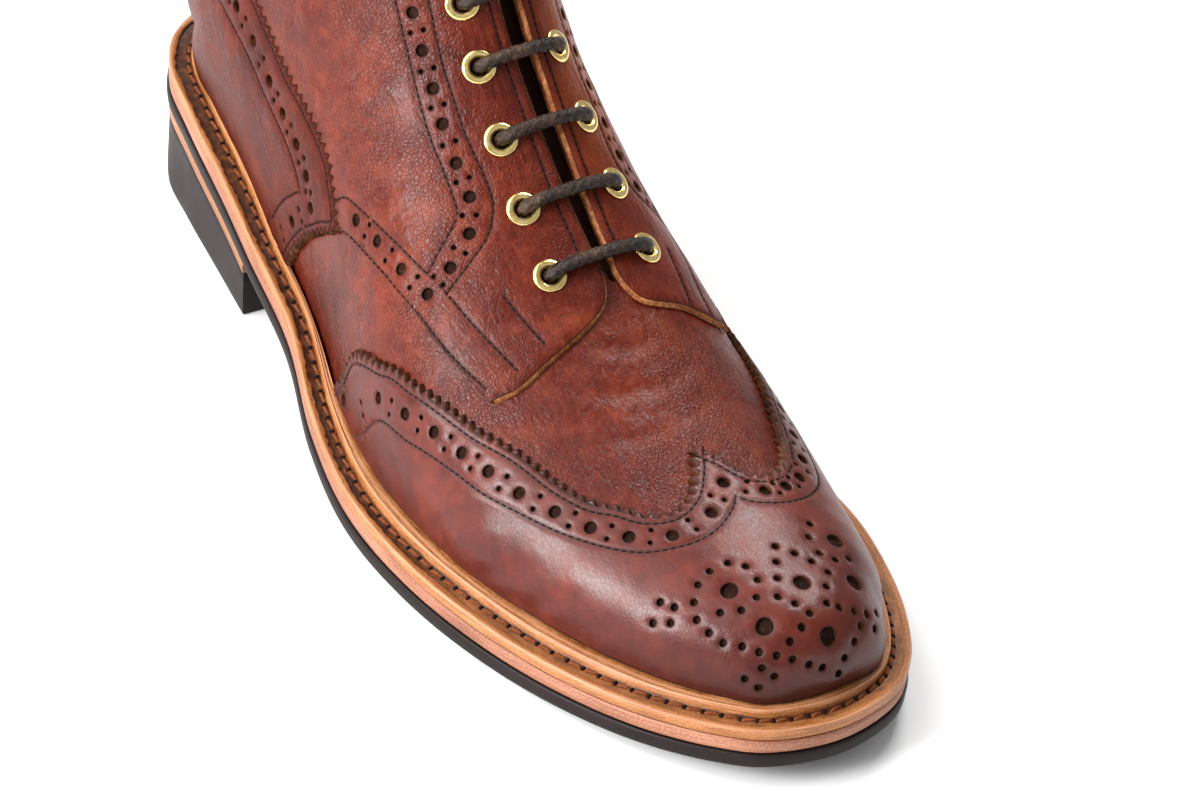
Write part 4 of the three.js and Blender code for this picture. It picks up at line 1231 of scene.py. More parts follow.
def inside(poly, pts):
    x, y = pts[:, 0], pts[:, 1]
    r = np.zeros(len(pts), bool)
    for (x0, y0), (x1, y1) in zip(poly, np.roll(poly, -1, 0)):
        hit = (y0 > y) != (y1 > y)
        if hit.any():
            r[hit] ^= x[hit] < (x1 - x0) * (y[hit] - y0) / (y1 - y0) + x0
    return r


def gimped(chart, line, pitch=3.0, depth=0.80):
    """Edge with small teeth."""
    fine = chart.spaced(line, pitch / 6)
    i = np.arange(len(fine))
    wave = np.array([-1.0, -0.75, 0.35, 1.0, 0.35, -0.75])[i % 6] * depth
    wave = wave * (1 + 0.15 * np.sin(i * 1.7))
    wave[[0, -1]] = 0
    steady = chart.sideways(fine, 0.01) - fine
    g = chart.metric(fine)
    size = np.sqrt(np.einsum("ni,nij,nj->n", steady, g, steady))[:, None]
    n = steady / np.maximum(size, 1e-9)
    n = np.stack([np.convolve(np.pad(n[:, c], 6, mode="edge"), np.ones(13) / 13, "valid")
                  for c in (0, 1)], 1)
    return fine + n * wave[:, None]


def trim_line(side, k0, k1, level, n=90):
    """Places just above the welt's rib, between two rows."""
    k = np.linspace(k0, k1, n)
    v = np.linspace(0.3, 1, 400)
    kk, vv = np.meshgrid(k, v * side, indexing="ij")
    p = skin(kk, vv)
    h = over_sole(p) - level
    out = []
    for i in range(n):
        c = np.nonzero((h[i, :-1] > 0) & (h[i, 1:] <= 0))[0]
        if len(c):
            j = c[-1]
            t = h[i, j] / (h[i, j] - h[i, j + 1])
            out.append((k[i], side * (v[j] + (v[j + 1] - v[j]) * t)))
    return np.array(out)


def nearest(points, block):
    """Squared distance from each point to the nearest one of a block."""
    best = np.full(len(points), 1e9)
    for i in range(0, len(points), 2000):
        part = points[i: i + 2000]
        for j in range(0, len(block), 3000):
            gap = ((part[:, None] - block[None, j: j + 3000]) ** 2).sum(2).min(1)
            best[i: i + 2000] = np.minimum(best[i: i + 2000], gap)
    return best


def overlay(name, chart, border, soft, pale, holes, seams, leather_mat, top, step, lean):
    """Leather piece cut along a border, with punched holes and seam grooves.

    soft marks border points whose cut edge stands straight, or leans less where it is pale.
    pale marks those with a light raw edge.
    """
    border = np.asarray(border)
    pts, drop, ring = [border], [np.where(soft, 0.34, 0.30)], [np.zeros(len(border), int)]
    edges = [(i, (i + 1) % len(border)) for i in range(len(border))]
    count = len(border)
    if not sum(border[:, 0] * np.roll(border[:, 1], -1) - border[:, 1] * np.roll(border[:, 0], -1)) > 0:
        pts[0] = border = border[::-1]
        drop[0] = drop[0][::-1]
        soft, pale = soft[::-1], pale[::-1]
    for number, (centre, radius) in enumerate(holes, 1):
        n = 18 if radius > 1.8 else 14 if radius > 1.2 else 10
        for grow, low, tag in ((radius, 0.20, number), (radius + 0.55, 0.0, -1)):
            c = chart.circle(centre, grow, n, turn=0.1 * number)
            pts.append(c)
            drop.append(np.full(n, low))
            ring.append(np.full(n, tag))
            if tag > 0:
                edges += [(count + i, count + (i + 1) % n) for i in range(n)]
            count += n
    loops = np.vstack(pts)
    line_pts = []
    rims = [(centre, chart.circle(centre, radius + 0.15, 14)) for centre, radius in holes]

    def off_holes(q):
        ok = np.ones(len(q), bool)
        for centre, rim in rims:
            near = np.flatnonzero((np.abs(q - centre) < np.abs(rim - centre).max(0)).all(1))
            if len(near):
                ok[near[inside(rim, q[near])]] = False
        return ok

    for line in seams:
        at = chart.spaced(line, 0.9)
        if len(at) < 3:
            continue
        for d, low in ((0.0, 0.30), (0.75, 0.0), (-0.75, 0.0)):
            q = chart.sideways(at, d) if d else at
            line_pts.append((q, np.full(len(q), low)))
    lo, hi = border.min(0), border.max(0)
    row_step = step * 0.87
    gx, gy = np.meshgrid(np.arange(lo[0], hi[0], step), np.arange(lo[1], hi[1], row_step), indexing="ij")
    gx = gx + (np.arange(gy.shape[1]) % 2)[None] * step / 2
    fill = np.c_[gx.ravel(), gy.ravel()] + (RNG.random((gx.size, 2)) - 0.5) * 0.25
    fill = fill[inside(border, fill) & off_holes(fill)]
    near = np.vstack([loops] + [q for q, _ in line_pts]) if line_pts else loops
    room = 0.62 * step
    fill = fill[nearest(fill, near) > room * room]
    for d in (0.55, -0.55):
        q = chart.sideways(border, d)[::2]
        line_pts.append((q, np.zeros(len(q))))
    for q, low in line_pts:
        ok = inside(border, q) & off_holes(q)
        ok &= nearest(q, loops) > 0.3**2
        pts.append(q[ok])
        drop.append(low[ok])
        ring.append(np.full(ok.sum(), -1))
    pts.append(fill)
    drop.append(np.zeros(len(fill)))
    ring.append(np.full(len(fill), -1))
    flat, drop, ring = np.vstack(pts), np.concatenate(drop), np.concatenate(ring)
    got = delaunay_2d_cdt([Vector(map(float, p)) for p in flat], edges, [], 1, 1e-4)
    verts = np.array([tuple(p) for p in got[0]])
    tris = np.array([f for f in got[2] if len(f) == 3])
    low = np.array([max((drop[i] for i in ids), default=0.0) for ids in got[3]])
    tag = np.array([max((ring[i] for i in ids), default=-1) for ids in got[3]])
    mid = verts[tris].mean(1)
    tris = tris[inside(border, mid)]
    hole = (tag[tris] > 0).all(1) & (tag[tris] == tag[tris[:, :1]]).all(1)
    area = np.cross(verts[tris[:, 1]] - verts[tris[:, 0]], verts[tris[:, 2]] - verts[tris[:, 0]])
    tris = np.where(area[:, None] > 0, tris, tris[:, ::-1])
    body, floor = tris[~hole], tris[hole]
    k, v = chart.to_kv(verts).T
    upper = on_skin(k, v, top - low)
    under = on_skin(k, v, np.full(len(k), 0.25))
    middle = on_skin(k, v, np.full(len(k), 0.25 + 0.55 * (top - 0.25)))
    deep = on_skin(k, v, np.full(len(k), 0.62))
    n = len(verts)
    directed = np.vstack([body[:, [0, 1]], body[:, [1, 2]], body[:, [2, 0]]])
    key = directed[:, 0].astype(np.int64) * n + directed[:, 1]
    back = directed[:, 1].astype(np.int64) * n + directed[:, 0]
    rim = directed[~np.isin(key, back)]
    at_hole = (tag[rim] > 0).all(1)
    outer, around = rim[~at_hole], rim[at_hole]
    step3 = upper[outer[:, 1]] - upper[outer[:, 0]]
    away = np.zeros_like(upper)
    np.add.at(away, outer[:, 0], step3)
    np.add.at(away, outer[:, 1], step3)
    away = np.cross(away, normals(k, v))
    away /= np.maximum(np.linalg.norm(away, axis=1), 1e-9)[:, None]
    is_soft, is_pale = np.zeros(n), np.zeros(n)
    for i, ids in enumerate(got[3]):
        mine = [j for j in ids if j < len(border)]
        if mine:
            is_soft[i], is_pale[i] = soft[mine[0]], pale[mine[0]]
    slope = np.where(is_soft > 0.5, np.where(is_pale > 0.5, 0.8, 0.0), 1.0)[:, None] * lean
    under += away * slope
    middle += away * slope * 0.55

    def strip(rim, a, b):
        """Quads from the layer of points at a down to the one at b."""
        return np.stack([rim[:, 1] + a, rim[:, 0] + a, rim[:, 0] + b, rim[:, 1] + b], 1)

    walls = np.vstack([strip(outer, 0, 3 * n), strip(outer, 3 * n, n)])
    light_edge = np.tile(is_pale[outer[:, 0]] > 0.5, 2)
    pits = strip(around, 0, 2 * n)
    points = np.vstack([upper, under, deep, middle])
    faces = [body, tris[:, ::-1] + n, floor + 2 * n, walls, pits]
    # Hole walls and dark cut edges get a dark set that is partly painted shade; hole floors get
    # near-black painted shade.
    mats = [leather_mat, M_RAW, M_GIMP_SHADE, M_HOLE_SHADE]
    kinds = ((body, 0), (tris, 3), (floor, 3), (walls, np.where(light_edge, 1, 2)), (pits, 2))
    index = np.concatenate([np.broadcast_to(kind, len(block)) for block, kind in kinds])
    # The groove mark carries painted shade: high on lowered points at cut edges, hole rims and seam
    # lines.
    groove = np.tile(np.clip(low / 0.3, 0, 1), 4)
    faces = [tuple(f) for block in faces for f in block]
    used = np.unique(np.concatenate([np.ravel(f) for f in faces]))
    new = np.full(len(points), -1)
    new[used] = np.arange(len(used))
    points, groove = points[used], groove[used]
    faces = [tuple(new[list(f)]) for f in faces]
    marks = {"burnish_and_shade": burnish_and_shade(points), "groove": groove, "warm": warmth(points)}
    piece(name, points, faces, mats, index, marks=marks, stands=[name], angle=48)


def seam_stitches(name, runs, top, pitch=2.0, length=1.62, radius=0.25):
    """Thread along seam lines, given as (chart, line)."""
    c, t, o = [], [], []
    for chart, line in runs:
        at = chart.spaced(line, pitch)
        if len(at) < 3:
            continue
        k, v = chart.to_kv(at).T
        p = on_skin(k, v, np.full(len(k), top - 0.28))
        c.append(p)
        t.append(np.gradient(p, axis=0))
        o.append(normals(k, v))
    return stitches(name, np.vstack(c), np.vstack(t), np.vstack(o), length, radius, M_THREAD,
                    twist=0.08, n=6)


def across(chart, centres, gap):
    """Pairs of small holes between large ones, set across the band."""
    out = []
    for a, b in zip(centres[:-1], centres[1:]):
        m = (a + b) / 2
        g = chart.metric(m[None])[0]
        t = b - a
        n = np.linalg.solve(g, np.array([-t[1], t[0]]))
        n /= math.sqrt(n @ g @ n)
        out += [m + n * gap, m - n * gap]
    return out


# Radius of each kind of punched hole, in mm
BIG, SMALL = 1.62, 0.68
MEDALLION_BIG_RADIUS, MEDALLION_RADIUS = 2.15, 0.98
EYELET_HOLE = 2.9
# Rows of the collar's cut edge and of the seam under it
COLLAR_EDGE, COLLAR_SEAM = 17.96, 17.80
# From the middle of a band to the small holes between its large ones, in mm
PAIR_GAP = 1.7
# From a gimped edge in to its seam, in mm
WING_SEAM_INSET, COUNTER_SEAM_INSET = 2.3, 2.2
# Height of the counter's face over the skin, in mm
COUNTER_TOP = SKIN_GAP + 1.9
TOE = Chart(turned=True)
SIDE = Chart()
BACK = Chart(back=True)

# Wing cap
WING_OUTER = [(10.81, 0.975), (10.33, 0.699), (9.73, 0.558), (9.23, 0.493), (8.83, 0.455), (8.31, 0.415),
              (7.79, 0.366), (7.23, 0.341), (6.87, 0.313), (6.63, 0.271), (6.39, 0.235), (6.24, 0.174),
              (6.33, 0.108), (6.57, 0.064), (6.86, 0.032)]
WING_INNER = [(6.86, 0.032), (6.65, -0.001), (6.36, -0.055), (6.31, -0.136), (6.51, -0.215),
              (6.87, -0.270), (7.29, -0.312), (8.07, -0.384), (8.82, -0.453), (9.28, -0.517),
              (9.83, -0.597), (10.50, -0.764), (10.95, -0.975)]
WING_BAND = [(10.40, 0.914), (10.23, 0.811), (9.63, 0.623), (9.15, 0.555), (8.71, 0.511), (8.28, 0.478),
             (7.89, 0.448), (7.48, 0.428), (7.06, 0.399), (6.66, 0.364), (6.29, 0.310), (5.98, 0.218),
             (6.01, 0.090), (6.33, 0.020), (6.07, -0.073), (6.09, -0.155), (6.24, -0.238), (6.57, -0.312),
             (7.01, -0.362), (7.45, -0.396), (7.87, -0.428), (8.31, -0.464), (8.90, -0.541),
             (9.39, -0.602), (9.89, -0.698), (10.40, -0.861)]
WING_LOW = [(10.57, 0.990), (10.16, 0.916), (9.57, 0.681), (8.93, 0.591), (8.27, 0.529), (7.54, 0.480),
            (6.91, 0.437), (6.37, 0.377), (6.01, 0.312), (5.76, 0.202), (5.75, 0.114), (5.94, 0.040),
            (6.10, 0.014)]
WING_LOW_IN = [(6.10, 0.014), (5.93, -0.024), (5.83, -0.128), (6.00, -0.260), (6.37, -0.360),
               (7.01, -0.420), (7.65, -0.460), (8.25, -0.508), (9.01, -0.618), (9.71, -0.738),
               (10.32, -0.930), (10.70, -0.990)]
MEDALLION_BIG = [(4.77, 0.234), (4.17, 0.006), (5.05, -0.222), (3.65, 0.282), (3.99, -0.258),
                 (2.11, 0.018)]
MEDALLION = [(5.41, 0.426), (5.21, 0.414), (5.35, 0.516), (5.13, 0.480), (5.19, 0.288), (5.25, 0.222),
             (5.21, 0.156), (5.01, 0.120), (5.03, 0.354), (4.81, 0.414), (4.51, 0.444), (4.19, 0.462),
             (3.79, 0.438), (3.37, 0.426), (2.87, 0.396), (2.27, 0.354), (1.51, 0.300), (0.95, 0.198),
             (0.36, -0.170), (4.57, 0.336), (4.31, 0.276), (4.33, 0.186), (4.65, 0.126), (4.07, 0.120),
             (4.49, 0.066), (4.85, 0.030), (5.15, 0.006), (4.91, -0.030), (4.63, -0.072), (5.17, -0.114),
             (5.41, -0.150), (4.79, -0.120), (4.59, -0.180), (4.65, -0.258), (4.27, -0.120),
             (3.85, -0.078), (3.31, -0.042), (3.09, -0.102), (2.95, -0.204), (2.97, -0.312),
             (3.33, -0.426), (3.67, 0.084), (3.19, 0.060), (2.91, 0.150), (2.79, 0.270), (2.41, -0.252),
             (2.63, -0.414), (1.75, -0.222), (1.05, -0.168), (3.13, 0.510), (3.49, 0.606), (2.61, 0.534),
             (3.11, 0.636)]
TRIM = RIB_TOP + 0.45


def above_trim(chart, line, level=TRIM):
    """The part of a line above the welt."""
    return line[over_sole(chart.to3(line)) - level > 0]


def wing_cap():
    a = above_trim(TOE, TOE.run(WING_OUTER))
    b = above_trim(TOE, TOE.run(WING_INNER))
    pink = np.vstack([gimped(TOE, a), gimped(TOE, b)[1:]])
    ka, kb = TOE.to_kv(a[:1])[0], TOE.to_kv(b[-1:])[0]
    low_in = TOE.from_kv(trim_line(-1, kb[0], 0.25, TRIM))
    low_out = TOE.from_kv(trim_line(1, 0.25, ka[0], TRIM))
    hem = TOE.spaced(np.vstack([low_in, low_out]), 1.1)
    border = np.vstack([pink, hem[1:-1]])
    soft = np.r_[np.zeros(len(pink), bool), np.ones(len(hem) - 2, bool)]
    big = TOE.places(WING_BAND)
    big = big[over_sole(TOE.to3(big)) > TRIM + 3.0]
    holes = [(c, BIG) for c in big] + [(c, SMALL) for c in across(TOE, big, 1.75)]
    holes += [(c, MEDALLION_BIG_RADIUS) for c in TOE.places(MEDALLION_BIG)]
    holes += [(c, MEDALLION_RADIUS) for c in TOE.places(MEDALLION)]
    near_a, near_b = (TOE.sideways(TOE.spaced(edge, 1.0), -WING_SEAM_INSET) for edge in (a, b))
    low = [above_trim(TOE, TOE.run(table), TRIM + 1.5) for table in (WING_LOW, WING_LOW_IN)]
    seams = [near_a, near_b] + low
    overlay("wing_cap", TOE, border, soft, np.zeros(len(border), bool), holes, seams, M_TOE, TOP,
            step=1.55, lean=0.5)
    return [(TOE, s) for s in seams]


WING_SEAMS = wing_cap()

# Quarters
FRONT_OUTER = [(9.01, 0.030), (8.81, 0.042), (8.65, 0.068), (8.51, 0.126), (8.40, 0.216), (8.35, 0.288),
               (8.43, 0.356)]
LOW_OUTER = [(8.43, 0.356), (8.87, 0.375), (9.33, 0.398), (9.83, 0.425), (10.29, 0.462), (10.67, 0.503),
             (11.05, 0.555), (11.29, 0.604)]
BACK_OUTER = [(11.29, 0.604), (11.72, 0.601), (12.45, 0.605), (13.33, 0.618), (14.20, 0.631),
              (15.40, 0.647), (16.99, 0.676), (17.96, 0.682)]
FRONT_INNER = [(9.04, -0.001), (8.85, -0.009), (8.65, -0.037), (8.56, -0.092), (8.52, -0.172),
               (8.44, -0.284), (8.50, -0.352)]
FACING_BAND = [(17.55, 0.263), (16.89, 0.264), (16.19, 0.266), (15.48, 0.267), (14.83, 0.251),
               (14.22, 0.249), (13.67, 0.249), (13.15, 0.251), (12.66, 0.251), (12.20, 0.252),
               (11.73, 0.249), (11.31, 0.248), (10.84, 0.240), (10.44, 0.230), (10.10, 0.252),
               (9.92, 0.314)]
FACING_LEFT = [(17.90, 0.298), (15.99, 0.301), (13.97, 0.283), (12.85, 0.283), (12.43, 0.285),
               (11.89, 0.288), (11.31, 0.285), (10.89, 0.274), (10.61, 0.267), (10.37, 0.264),
               (10.29, 0.277), (10.16, 0.323), (10.05, 0.362)]
FACING_RIGHT = [(17.90, 0.219), (15.99, 0.222), (13.98, 0.207), (12.68, 0.208), (12.30, 0.211),
                (11.88, 0.213), (11.46, 0.208), (11.06, 0.204), (10.64, 0.190), (10.34, 0.184),
                (10.12, 0.195), (9.94, 0.224), (9.81, 0.280), (9.71, 0.339)]
LOWER_BAND = [(11.15, 0.528), (10.77, 0.478), (10.31, 0.427), (9.87, 0.382)]
LOWER_UP = [(11.52, 0.583), (11.41, 0.539), (11.02, 0.484), (10.49, 0.415), (10.03, 0.366), (9.70, 0.338),
            (9.28, 0.313), (8.91, 0.293), (8.53, 0.274)]
LOWER_DOWN = [(11.27, 0.592), (11.09, 0.563), (10.67, 0.507), (10.33, 0.466), (9.83, 0.421),
              (9.35, 0.392), (8.91, 0.369), (8.59, 0.350)]
TAB = [(9.27, 0.229), (8.93, 0.214), (8.61, 0.200)]


def quarter(side):
    facing_k = np.linspace(9.10, COLLAR_EDGE, 60)
    edge = EDGE_OUTER(facing_k) if side > 0 else -EDGE_INNER(facing_k)
    face = SIDE.from_kv(np.c_[facing_k, side * edge])
    front = SIDE.run(FRONT_OUTER if side > 0 else FRONT_INNER)
    low, back = SIDE.run(LOW_OUTER, side), SIDE.run(BACK_OUTER, side)
    top_v = np.linspace(BACK_OUTER[-1][1], edge[-1], 60)
    top = SIDE.from_kv(np.c_[np.full(60, COLLAR_EDGE), side * top_v])
    runs = ((face[::-1], 0.9), (front, 0.7), (low, 0.8), (back, 1.1), (top, 1.2))
    parts = [SIDE.spaced(run, pitch) for run, pitch in runs]
    border = np.vstack([p[:-1] for p in parts])
    # Facing, lower edge and top are soft; facing and front edge are pale
    soft = np.concatenate([np.full(len(p) - 1, i in (0, 2, 4)) for i, p in enumerate(parts)])
    pale = np.concatenate([np.full(len(p) - 1, i in (0, 1)) for i, p in enumerate(parts)])
    bigs, lows = SIDE.places(FACING_BAND, side), SIDE.places(LOWER_BAND, side)
    holes = [(c, BIG) for c in np.vstack([bigs, lows])]
    for band in (bigs, lows, np.vstack([bigs[-1:], lows[-1:]])):
        holes += [(c, SMALL) for c in across(SIDE, band, PAIR_GAP)]
    holes += [(c, EYELET_HOLE) for c in SIDE.places([(k, EYELET_SIDE) for k in EYELET_ROWS], side)]
    seams = [SIDE.run(table, side) for table in (FACING_LEFT, FACING_RIGHT, LOWER_UP, LOWER_DOWN, TAB)]
    seams.append(SIDE.from_kv(np.c_[facing_k[2:], side * (edge[2:] + 0.028)]))
    collar_v = np.linspace(edge[-1] + 0.03, 0.60, 60)
    seams.append(SIDE.from_kv(np.c_[np.full(60, COLLAR_SEAM), side * collar_v]))
    name, mat = ("quarter_outer", M_UPPER) if side > 0 else ("quarter_inner", M_INNER)
    overlay(name, SIDE, border, soft, pale, holes, seams, mat, TOP, step=1.7, lean=0.7)
    return [(SIDE, s) for s in seams]


QUARTER_SEAMS = quarter(1) + quarter(-1)

# Heel counter
COUNTER_FRONT = [(11.29, 0.598), (11.45, 0.583), (11.64, 0.574), (11.86, 0.565), (12.15, 0.567),
                 (12.51, 0.578), (12.92, 0.592), (13.31, 0.596), (13.69, 0.598), (14.40, 0.614),
                 (15.40, 0.633), (16.99, 0.664), (17.96, 0.670)]
COUNTER_DOWN = [(11.29, 0.598), (11.35, 0.625), (11.52, 0.683), (11.68, 0.749), (11.76, 0.850),
                (11.75, 0.985)]
COUNTER_BAND = [(17.54, 0.728), (16.89, 0.722), (16.16, 0.715), (15.30, 0.690), (14.64, 0.678),
                (14.11, 0.666), (13.76, 0.656), (13.35, 0.652), (12.93, 0.654), (12.59, 0.655),
                (12.28, 0.650), (11.99, 0.658), (11.74, 0.679)]
COUNTER_TURN = [(11.88, 0.757), (11.98, 0.880)]
COUNTER_SEAM = [(17.90, 0.752), (16.58, 0.747), (14.99, 0.708), (14.01, 0.686), (13.29, 0.678),
                (12.85, 0.680), (12.45, 0.678), (12.17, 0.681), (11.95, 0.692)]
COUNTER_LOW = [(11.95, 0.692), (12.01, 0.715), (12.10, 0.781), (12.18, 0.985)]


def heel_counter():
    edges = []
    for side in (1, -1):
        down = above_trim(BACK, BACK.run(COUNTER_DOWN, side))
        k = BACK.to_kv(down[-1:])[0][0]
        low = BACK.spaced(BACK.from_kv(trim_line(side, k, 14.6, TRIM, 80)), 1.1)
        edges.append((gimped(BACK, BACK.run(COUNTER_FRONT, side)[::-1]), gimped(BACK, down), low))
    a, b = edges
    top_v = np.r_[np.linspace(-0.668, -1, 60)[:-1], -1, np.linspace(1, 0.668, 60)]
    top = BACK.spaced(BACK.from_kv(np.c_[np.full(120, COLLAR_EDGE), top_v]), 1.2)
    parts = [a[0][:-1], a[1][:-1], a[2], b[2][::-1][:-1], b[1][::-1][:-1], b[0][::-1][:-1], top[:-1]]
    # Both hems and the top are soft
    soft = np.concatenate([np.full(len(p), i in (2, 3, 6)) for i, p in enumerate(parts)])
    border = np.vstack(parts)
    holes, seams = [], []
    for side in (1, -1):
        big = BACK.places(COUNTER_BAND + COUNTER_TURN, side)
        holes += [(c, BIG) for c in big] + [(c, SMALL) for c in across(BACK, big, PAIR_GAP)]
        seams += [BACK.run(COUNTER_SEAM, side), above_trim(BACK, BACK.run(COUNTER_LOW, side), TRIM + 1.2)]
        edge = BACK.spaced(BACK.run(COUNTER_FRONT, side)[::-1], 1.0)
        seams.append(BACK.sideways(edge, -COUNTER_SEAM_INSET * side)[1:])
        edge = BACK.spaced(above_trim(BACK, BACK.run(COUNTER_DOWN, side)), 1.0)
        seams.append(BACK.sideways(edge, -COUNTER_SEAM_INSET * side)[2:])
        seams.append(BACK.from_kv(np.c_[np.linspace(15.0, 17.9, 40), np.full(40, side * 0.935)]))
        seams.append(BACK.from_kv(np.c_[np.full(30, COLLAR_SEAM), side * np.linspace(0.69, 0.93, 30)]))
    none_pale = np.zeros(len(border), bool)
    overlay("heel_counter", BACK, border, soft, none_pale, holes, seams, M_COUNTER, COUNTER_TOP,
            step=1.75, lean=0.5)
    return [(BACK, s) for s in seams]


COUNTER_SEAMS = heel_counter()
seam_stitches("stitches_wing", WING_SEAMS, TOP)
seam_stitches("stitches_quarters", QUARTER_SEAMS, TOP)
seam_stitches("stitches_counter", COUNTER_SEAMS, COUNTER_TOP)


# Tongue
def tongue_clear(k):
    """Gap under the upper's wall in mm, wider from the throat up."""
    return 0.8 + 2.9 * smooth(8.7, 9.5, k)


def tongue():
    k, v = np.linspace(7.6, 18.6, 120), np.linspace(-0.30, 0.30, 60)
    kk, vv = np.meshgrid(k, v, indexing="ij")
    round_off = 0.5 * np.clip((np.abs(vv) - 0.27) / 0.03, 0, 1) ** 2
    top = -(WALL + tongue_clear(kk)) - round_off
    ripple = 0.25 * np.sin(kk * 2.1 + 0.5) * np.cos(vv * 9)
    base, out = skin(kk, vv), normals(kk, vv)
    thick = 1.9
    p = np.stack([base + out * (top + ripple)[..., None],
                  base + out * (top + ripple - thick + 2 * round_off)[..., None]])
    n = kk.size
    ids = np.arange(2 * n).reshape(2, *kk.shape)
    loop = [np.r_[i[0, :], i[1:, -1], i[-1, :-1][::-1], i[1:-1, 0][::-1]] for i in ids]
    rim = grid_faces(np.array([np.r_[loop[1], loop[1][:1]], np.r_[loop[0], loop[0][:1]]]))
    faces = np.vstack([grid_faces(ids[0]), grid_faces(ids[1])[:, ::-1], rim])
    pts = p.reshape(-1, 3)
    marks = {"burnish_and_shade": np.zeros(len(pts))}
    piece("tongue", pts, orient(pts, faces), [M_TONGUE], marks=marks,
          stands=["tongue"], angle=50)


tongue()


# Eyelets and lace
def eyelet(name, k, v):
    base = TOP - 0.05
    # Radius and height over the leather, in mm
    prof = [(2.1, -3.6), (2.35, -3.7), (2.6, -3.6), (2.6, 0.0), (4.15, 0.0), (4.32, 0.12), (4.38, 0.3),
            (4.30, 0.52),
            (4.0, 0.74), (3.6, 0.86), (3.25, 0.9), (2.85, 0.84), (2.5, 0.66), (2.25, 0.36), (2.12, 0.0),
            (2.1, -0.5)]
    n = 40
    a = turns(n)
    o = normals(k, v)
    x = np.cross(o, [0, 1, 0])
    x /= np.linalg.norm(x)
    y = np.cross(o, x)
    c = skin(k, v) + o * base
    p = np.array([c + o * z + (np.cos(a)[:, None] * x + np.sin(a)[:, None] * y) * r for r, z in prof])
    ids = np.arange(len(prof) * n).reshape(-1, n)
    faces = np.vstack([grid_faces(ids, wrap=True), grid_faces(ids[[-1, 0]], wrap=True)])
    pts = p.reshape(-1, 3)
    q = pts - c
    f = orient(q, faces)
    piece(name, pts, f, [M_BRASS], stands=[name], angle=60)


for i, k in enumerate(EYELET_ROWS):
    eyelet(f"eyelet_outer_{i + 1}", k, EYELET_SIDE)
    eyelet(f"eyelet_inner_{i + 1}", k, -EYELET_SIDE)


# The lace's radius, its braid's length of one turn, and the step along it, in mm
LACE_RADIUS, LACE_LAY, LACE_STEP = 1.80, 11.0, 0.42


def lace_path():
    """One lace: straight bars, hidden runs behind the facing, ends behind the top eyelets."""
    under, low = -(WALL + 2.0), 0.155
    path = []

    def go(k, v, off):
        path.append((k, v, off))

    def bar(k, s):
        half = [(1.0, -1.5), (1.0, 0.7), (0.95, 2.9), (0.76, 4.15), (0.40, 4.05)]
        for v, off in half + [(0.0, 3.95)] + [(-v, off) for v, off in half[::-1]]:
            go(k, s * EYELET_SIDE * v, off)

    def hidden(k0, k1, s, v):
        for t in (0.0, 0.2, 0.5, 0.8, 1.0):
            edge = EYELET_SIDE if t in (0.0, 1.0) else v
            lean = 0.10 if t == 0 else -0.10 if t == 1 else 0
            go(k0 + (k1 - k0) * t + lean * np.sign(k1 - k0), s * edge, under)

    rows = EYELET_ROWS
    for t in np.linspace(0, 1, 12)[:-1]:
        go(rows[-1] - 0.25 - (rows[-1] - rows[0] - 0.6) * t, 0.215 if t < 0.97 else 0.17, under)
    go(rows[0] + 0.05, 0.15, under)
    side = 1
    for i, k in enumerate(rows):
        bar(k, side)
        side = -side
        if i < len(rows) - 1:
            hidden(k, rows[i + 1], side, low)
    go(rows[-1] - 0.05, side * 0.14, under)
    go(rows[-1] - 0.25, side * 0.165, under)
    go(rows[-1] - 0.5, side * 0.19, under)
    kvo = np.array(path)
    p = skin(kvo[:, 0], kvo[:, 1]) + normals(kvo[:, 0], kvo[:, 1]) * kvo[:, 2:]
    n = normals(kvo[:, 0], kvo[:, 1])
    return p, n, (kvo[:, 2] < -1.8).astype(float)


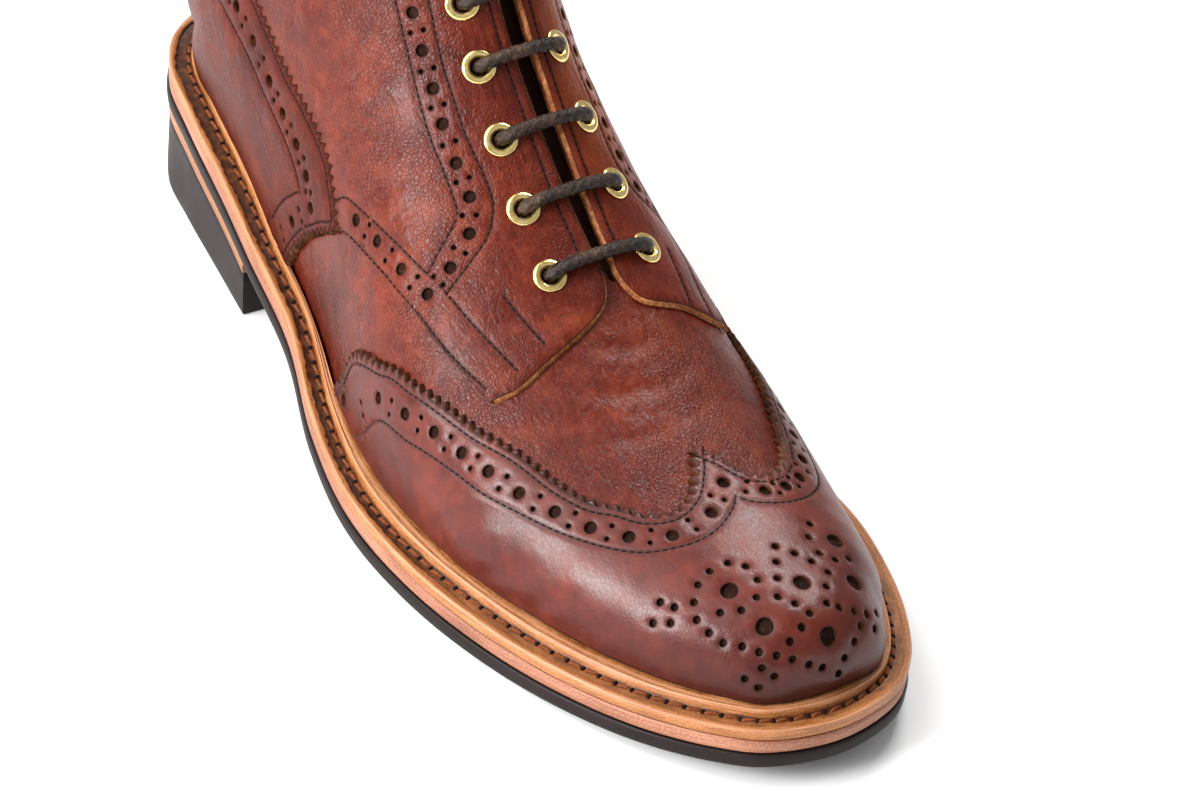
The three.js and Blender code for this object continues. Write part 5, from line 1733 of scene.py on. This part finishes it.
def lace():
    p, n, tucked = lace_path()
    out = flow(p, 14)
    t = np.linspace(0, len(p) - 1, len(out))
    up = resampled(t, np.arange(len(p)), n)
    flat = np.interp(t, np.arange(len(p)), tucked)
    s = arc_length(out)
    length = s[-1]
    m = int(length / LACE_STEP)
    at = np.linspace(0, length, m)
    c = resampled(at, s, out)
    up = resampled(at, s, up)
    flat = np.interp(at, s, flat)
    for _ in range(3):
        c[1:-1] = (c[:-2] + 2 * c[1:-1] + c[2:]) / 4
    tan = np.gradient(c, axis=0)
    tan /= np.linalg.norm(tan, axis=1)[:, None]
    e1 = np.zeros_like(tan)
    prev = up[0]
    for i in range(m):
        prev = prev - tan[i] * (prev @ tan[i])
        prev /= np.linalg.norm(prev)
        e1[i] = prev
    for i in range(m):
        want = up[i] - tan[i] * (up[i] @ tan[i])
        if flat[i] > 0.5 and np.linalg.norm(want) > 0.3:
            e1[i] = want / np.linalg.norm(want)
    e2 = np.cross(tan, e1)
    n_round, strands = 24, 4
    a = turns(n_round)
    turn = at[:, None] * 2 * np.pi / LACE_LAY
    one = np.cos(strands * (a[None] + turn))
    two = np.cos(strands * (a[None] - turn))
    r = LACE_RADIUS * (1 + 0.11 * np.maximum(one, two) - 0.09)
    thin = 1 - 0.36 * flat
    high = np.cos(a)[None] * r * thin[:, None]
    wide = np.sin(a)[None] * r * (1 + 0.12 * flat)[:, None]
    pts = c[:, None] + high[..., None] * e1[:, None] + wide[..., None] * e2[:, None]
    ids = np.arange(m * n_round).reshape(m, n_round)
    faces = [tuple(f) for f in grid_faces(ids, wrap=True)]
    faces += [tuple(ids[0][::-1]), tuple(ids[-1])]
    uv = np.stack([np.broadcast_to(at[:, None] / 1000, ids.shape).ravel(),
                   np.broadcast_to(a[None] * 0.0018, ids.shape).ravel()], 1)
    q = pts.reshape(-1, 3)
    bars = [f"lace_bar_{i + 1}" for i in range(len(EYELET_ROWS))]
    piece("lace", q, faces, [M_LACE], uv=uv, stands=bars, angle=75)
    print("lace length", round(length), "mm")


lace()

# Insole
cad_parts["insole"].data.materials.clear()
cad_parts["insole"].data.materials.append(M_LINING)


# Camera, floor and light
def camera():
    data = bpy.data.cameras.new("camera")
    cam = bpy.data.objects.new("camera", data)
    bpy.context.scene.collection.objects.link(cam)
    az, el, roll = (math.radians(a) for a in (-36.47, 36.45, 6.76))
    dist = 1.2555
    target = Vector((-0.0035 + CENTRE / 1000, -0.04385, 0.040))
    back = Vector((math.sin(az) * math.cos(el), -math.cos(az) * math.cos(el), math.sin(el)))
    right = Vector((math.cos(az), math.sin(az), 0))
    up = back.cross(right)
    r2 = right * math.cos(roll) + up * math.sin(roll)
    u2 = -right * math.sin(roll) + up * math.cos(roll)
    m = Matrix((r2, u2, back)).transposed().to_4x4()
    m.translation = target + back * dist
    cam.matrix_world = m
    data.sensor_width = 36
    data.lens = 150.1
    data.shift_x, data.shift_y = 0.0049, -0.0033
    data.clip_start, data.clip_end = 0.05, 20
    bpy.context.scene.camera = cam


camera()


def floor():
    m = Nodes("floor")
    m.out((0.93, 0.93, 0.93), 0.9, None, Specular_IOR_Level=0.1)
    mesh = bpy.data.meshes.new("floor")
    mesh.from_pydata([(-4, -4, 0), (4, -4, 0), (4, 4, 0), (-4, 4, 0)], [], [(0, 1, 2, 3)])
    mesh.materials.append(m.mat)
    o = bpy.data.objects.new("floor", mesh)
    bpy.context.scene.collection.objects.link(o)


floor()


def area(name, place, aim, size, power, tall=None):
    data = bpy.data.lights.new(name, "AREA")
    data.energy, data.size = power, size
    if tall:
        data.shape, data.size_y = "RECTANGLE", tall
    o = bpy.data.objects.new(name, data)
    bpy.context.scene.collection.objects.link(o)
    o.location = place
    o.rotation_euler = (Vector(aim) - Vector(place)).to_track_quat("-Z", "Y").to_euler()


# Name, place, aim, size and watts, then the height of one that isn't square
area("key", (-1.14, 0.02, 0.54), (0, -0.06, 0.04), 0.60, 24, 0.5)
area("wide", (-0.8, 0.35, 1.15), (0, -0.05, 0.04), 1.3, 15)
area("ridge", (0.50, 0.34, 1.04), (0, -0.11, 0.045), 0.40, 9)
area("front", (-0.5, -1.5, 1.3), (0, 0, 0.05), 1.4, 1.5)
area("back", (0.3, 1.6, 1.1), (0, 0, 0.08), 1.2, 3)
world = bpy.data.worlds.new("studio")
world.use_nodes = True
bg = world.node_tree.nodes["Background"]
bg.inputs[0].default_value = (1, 1, 1, 1)
bg.inputs[1].default_value = 0.42
bpy.context.scene.world = world
bpy.context.scene.view_settings.view_transform = "Standard"
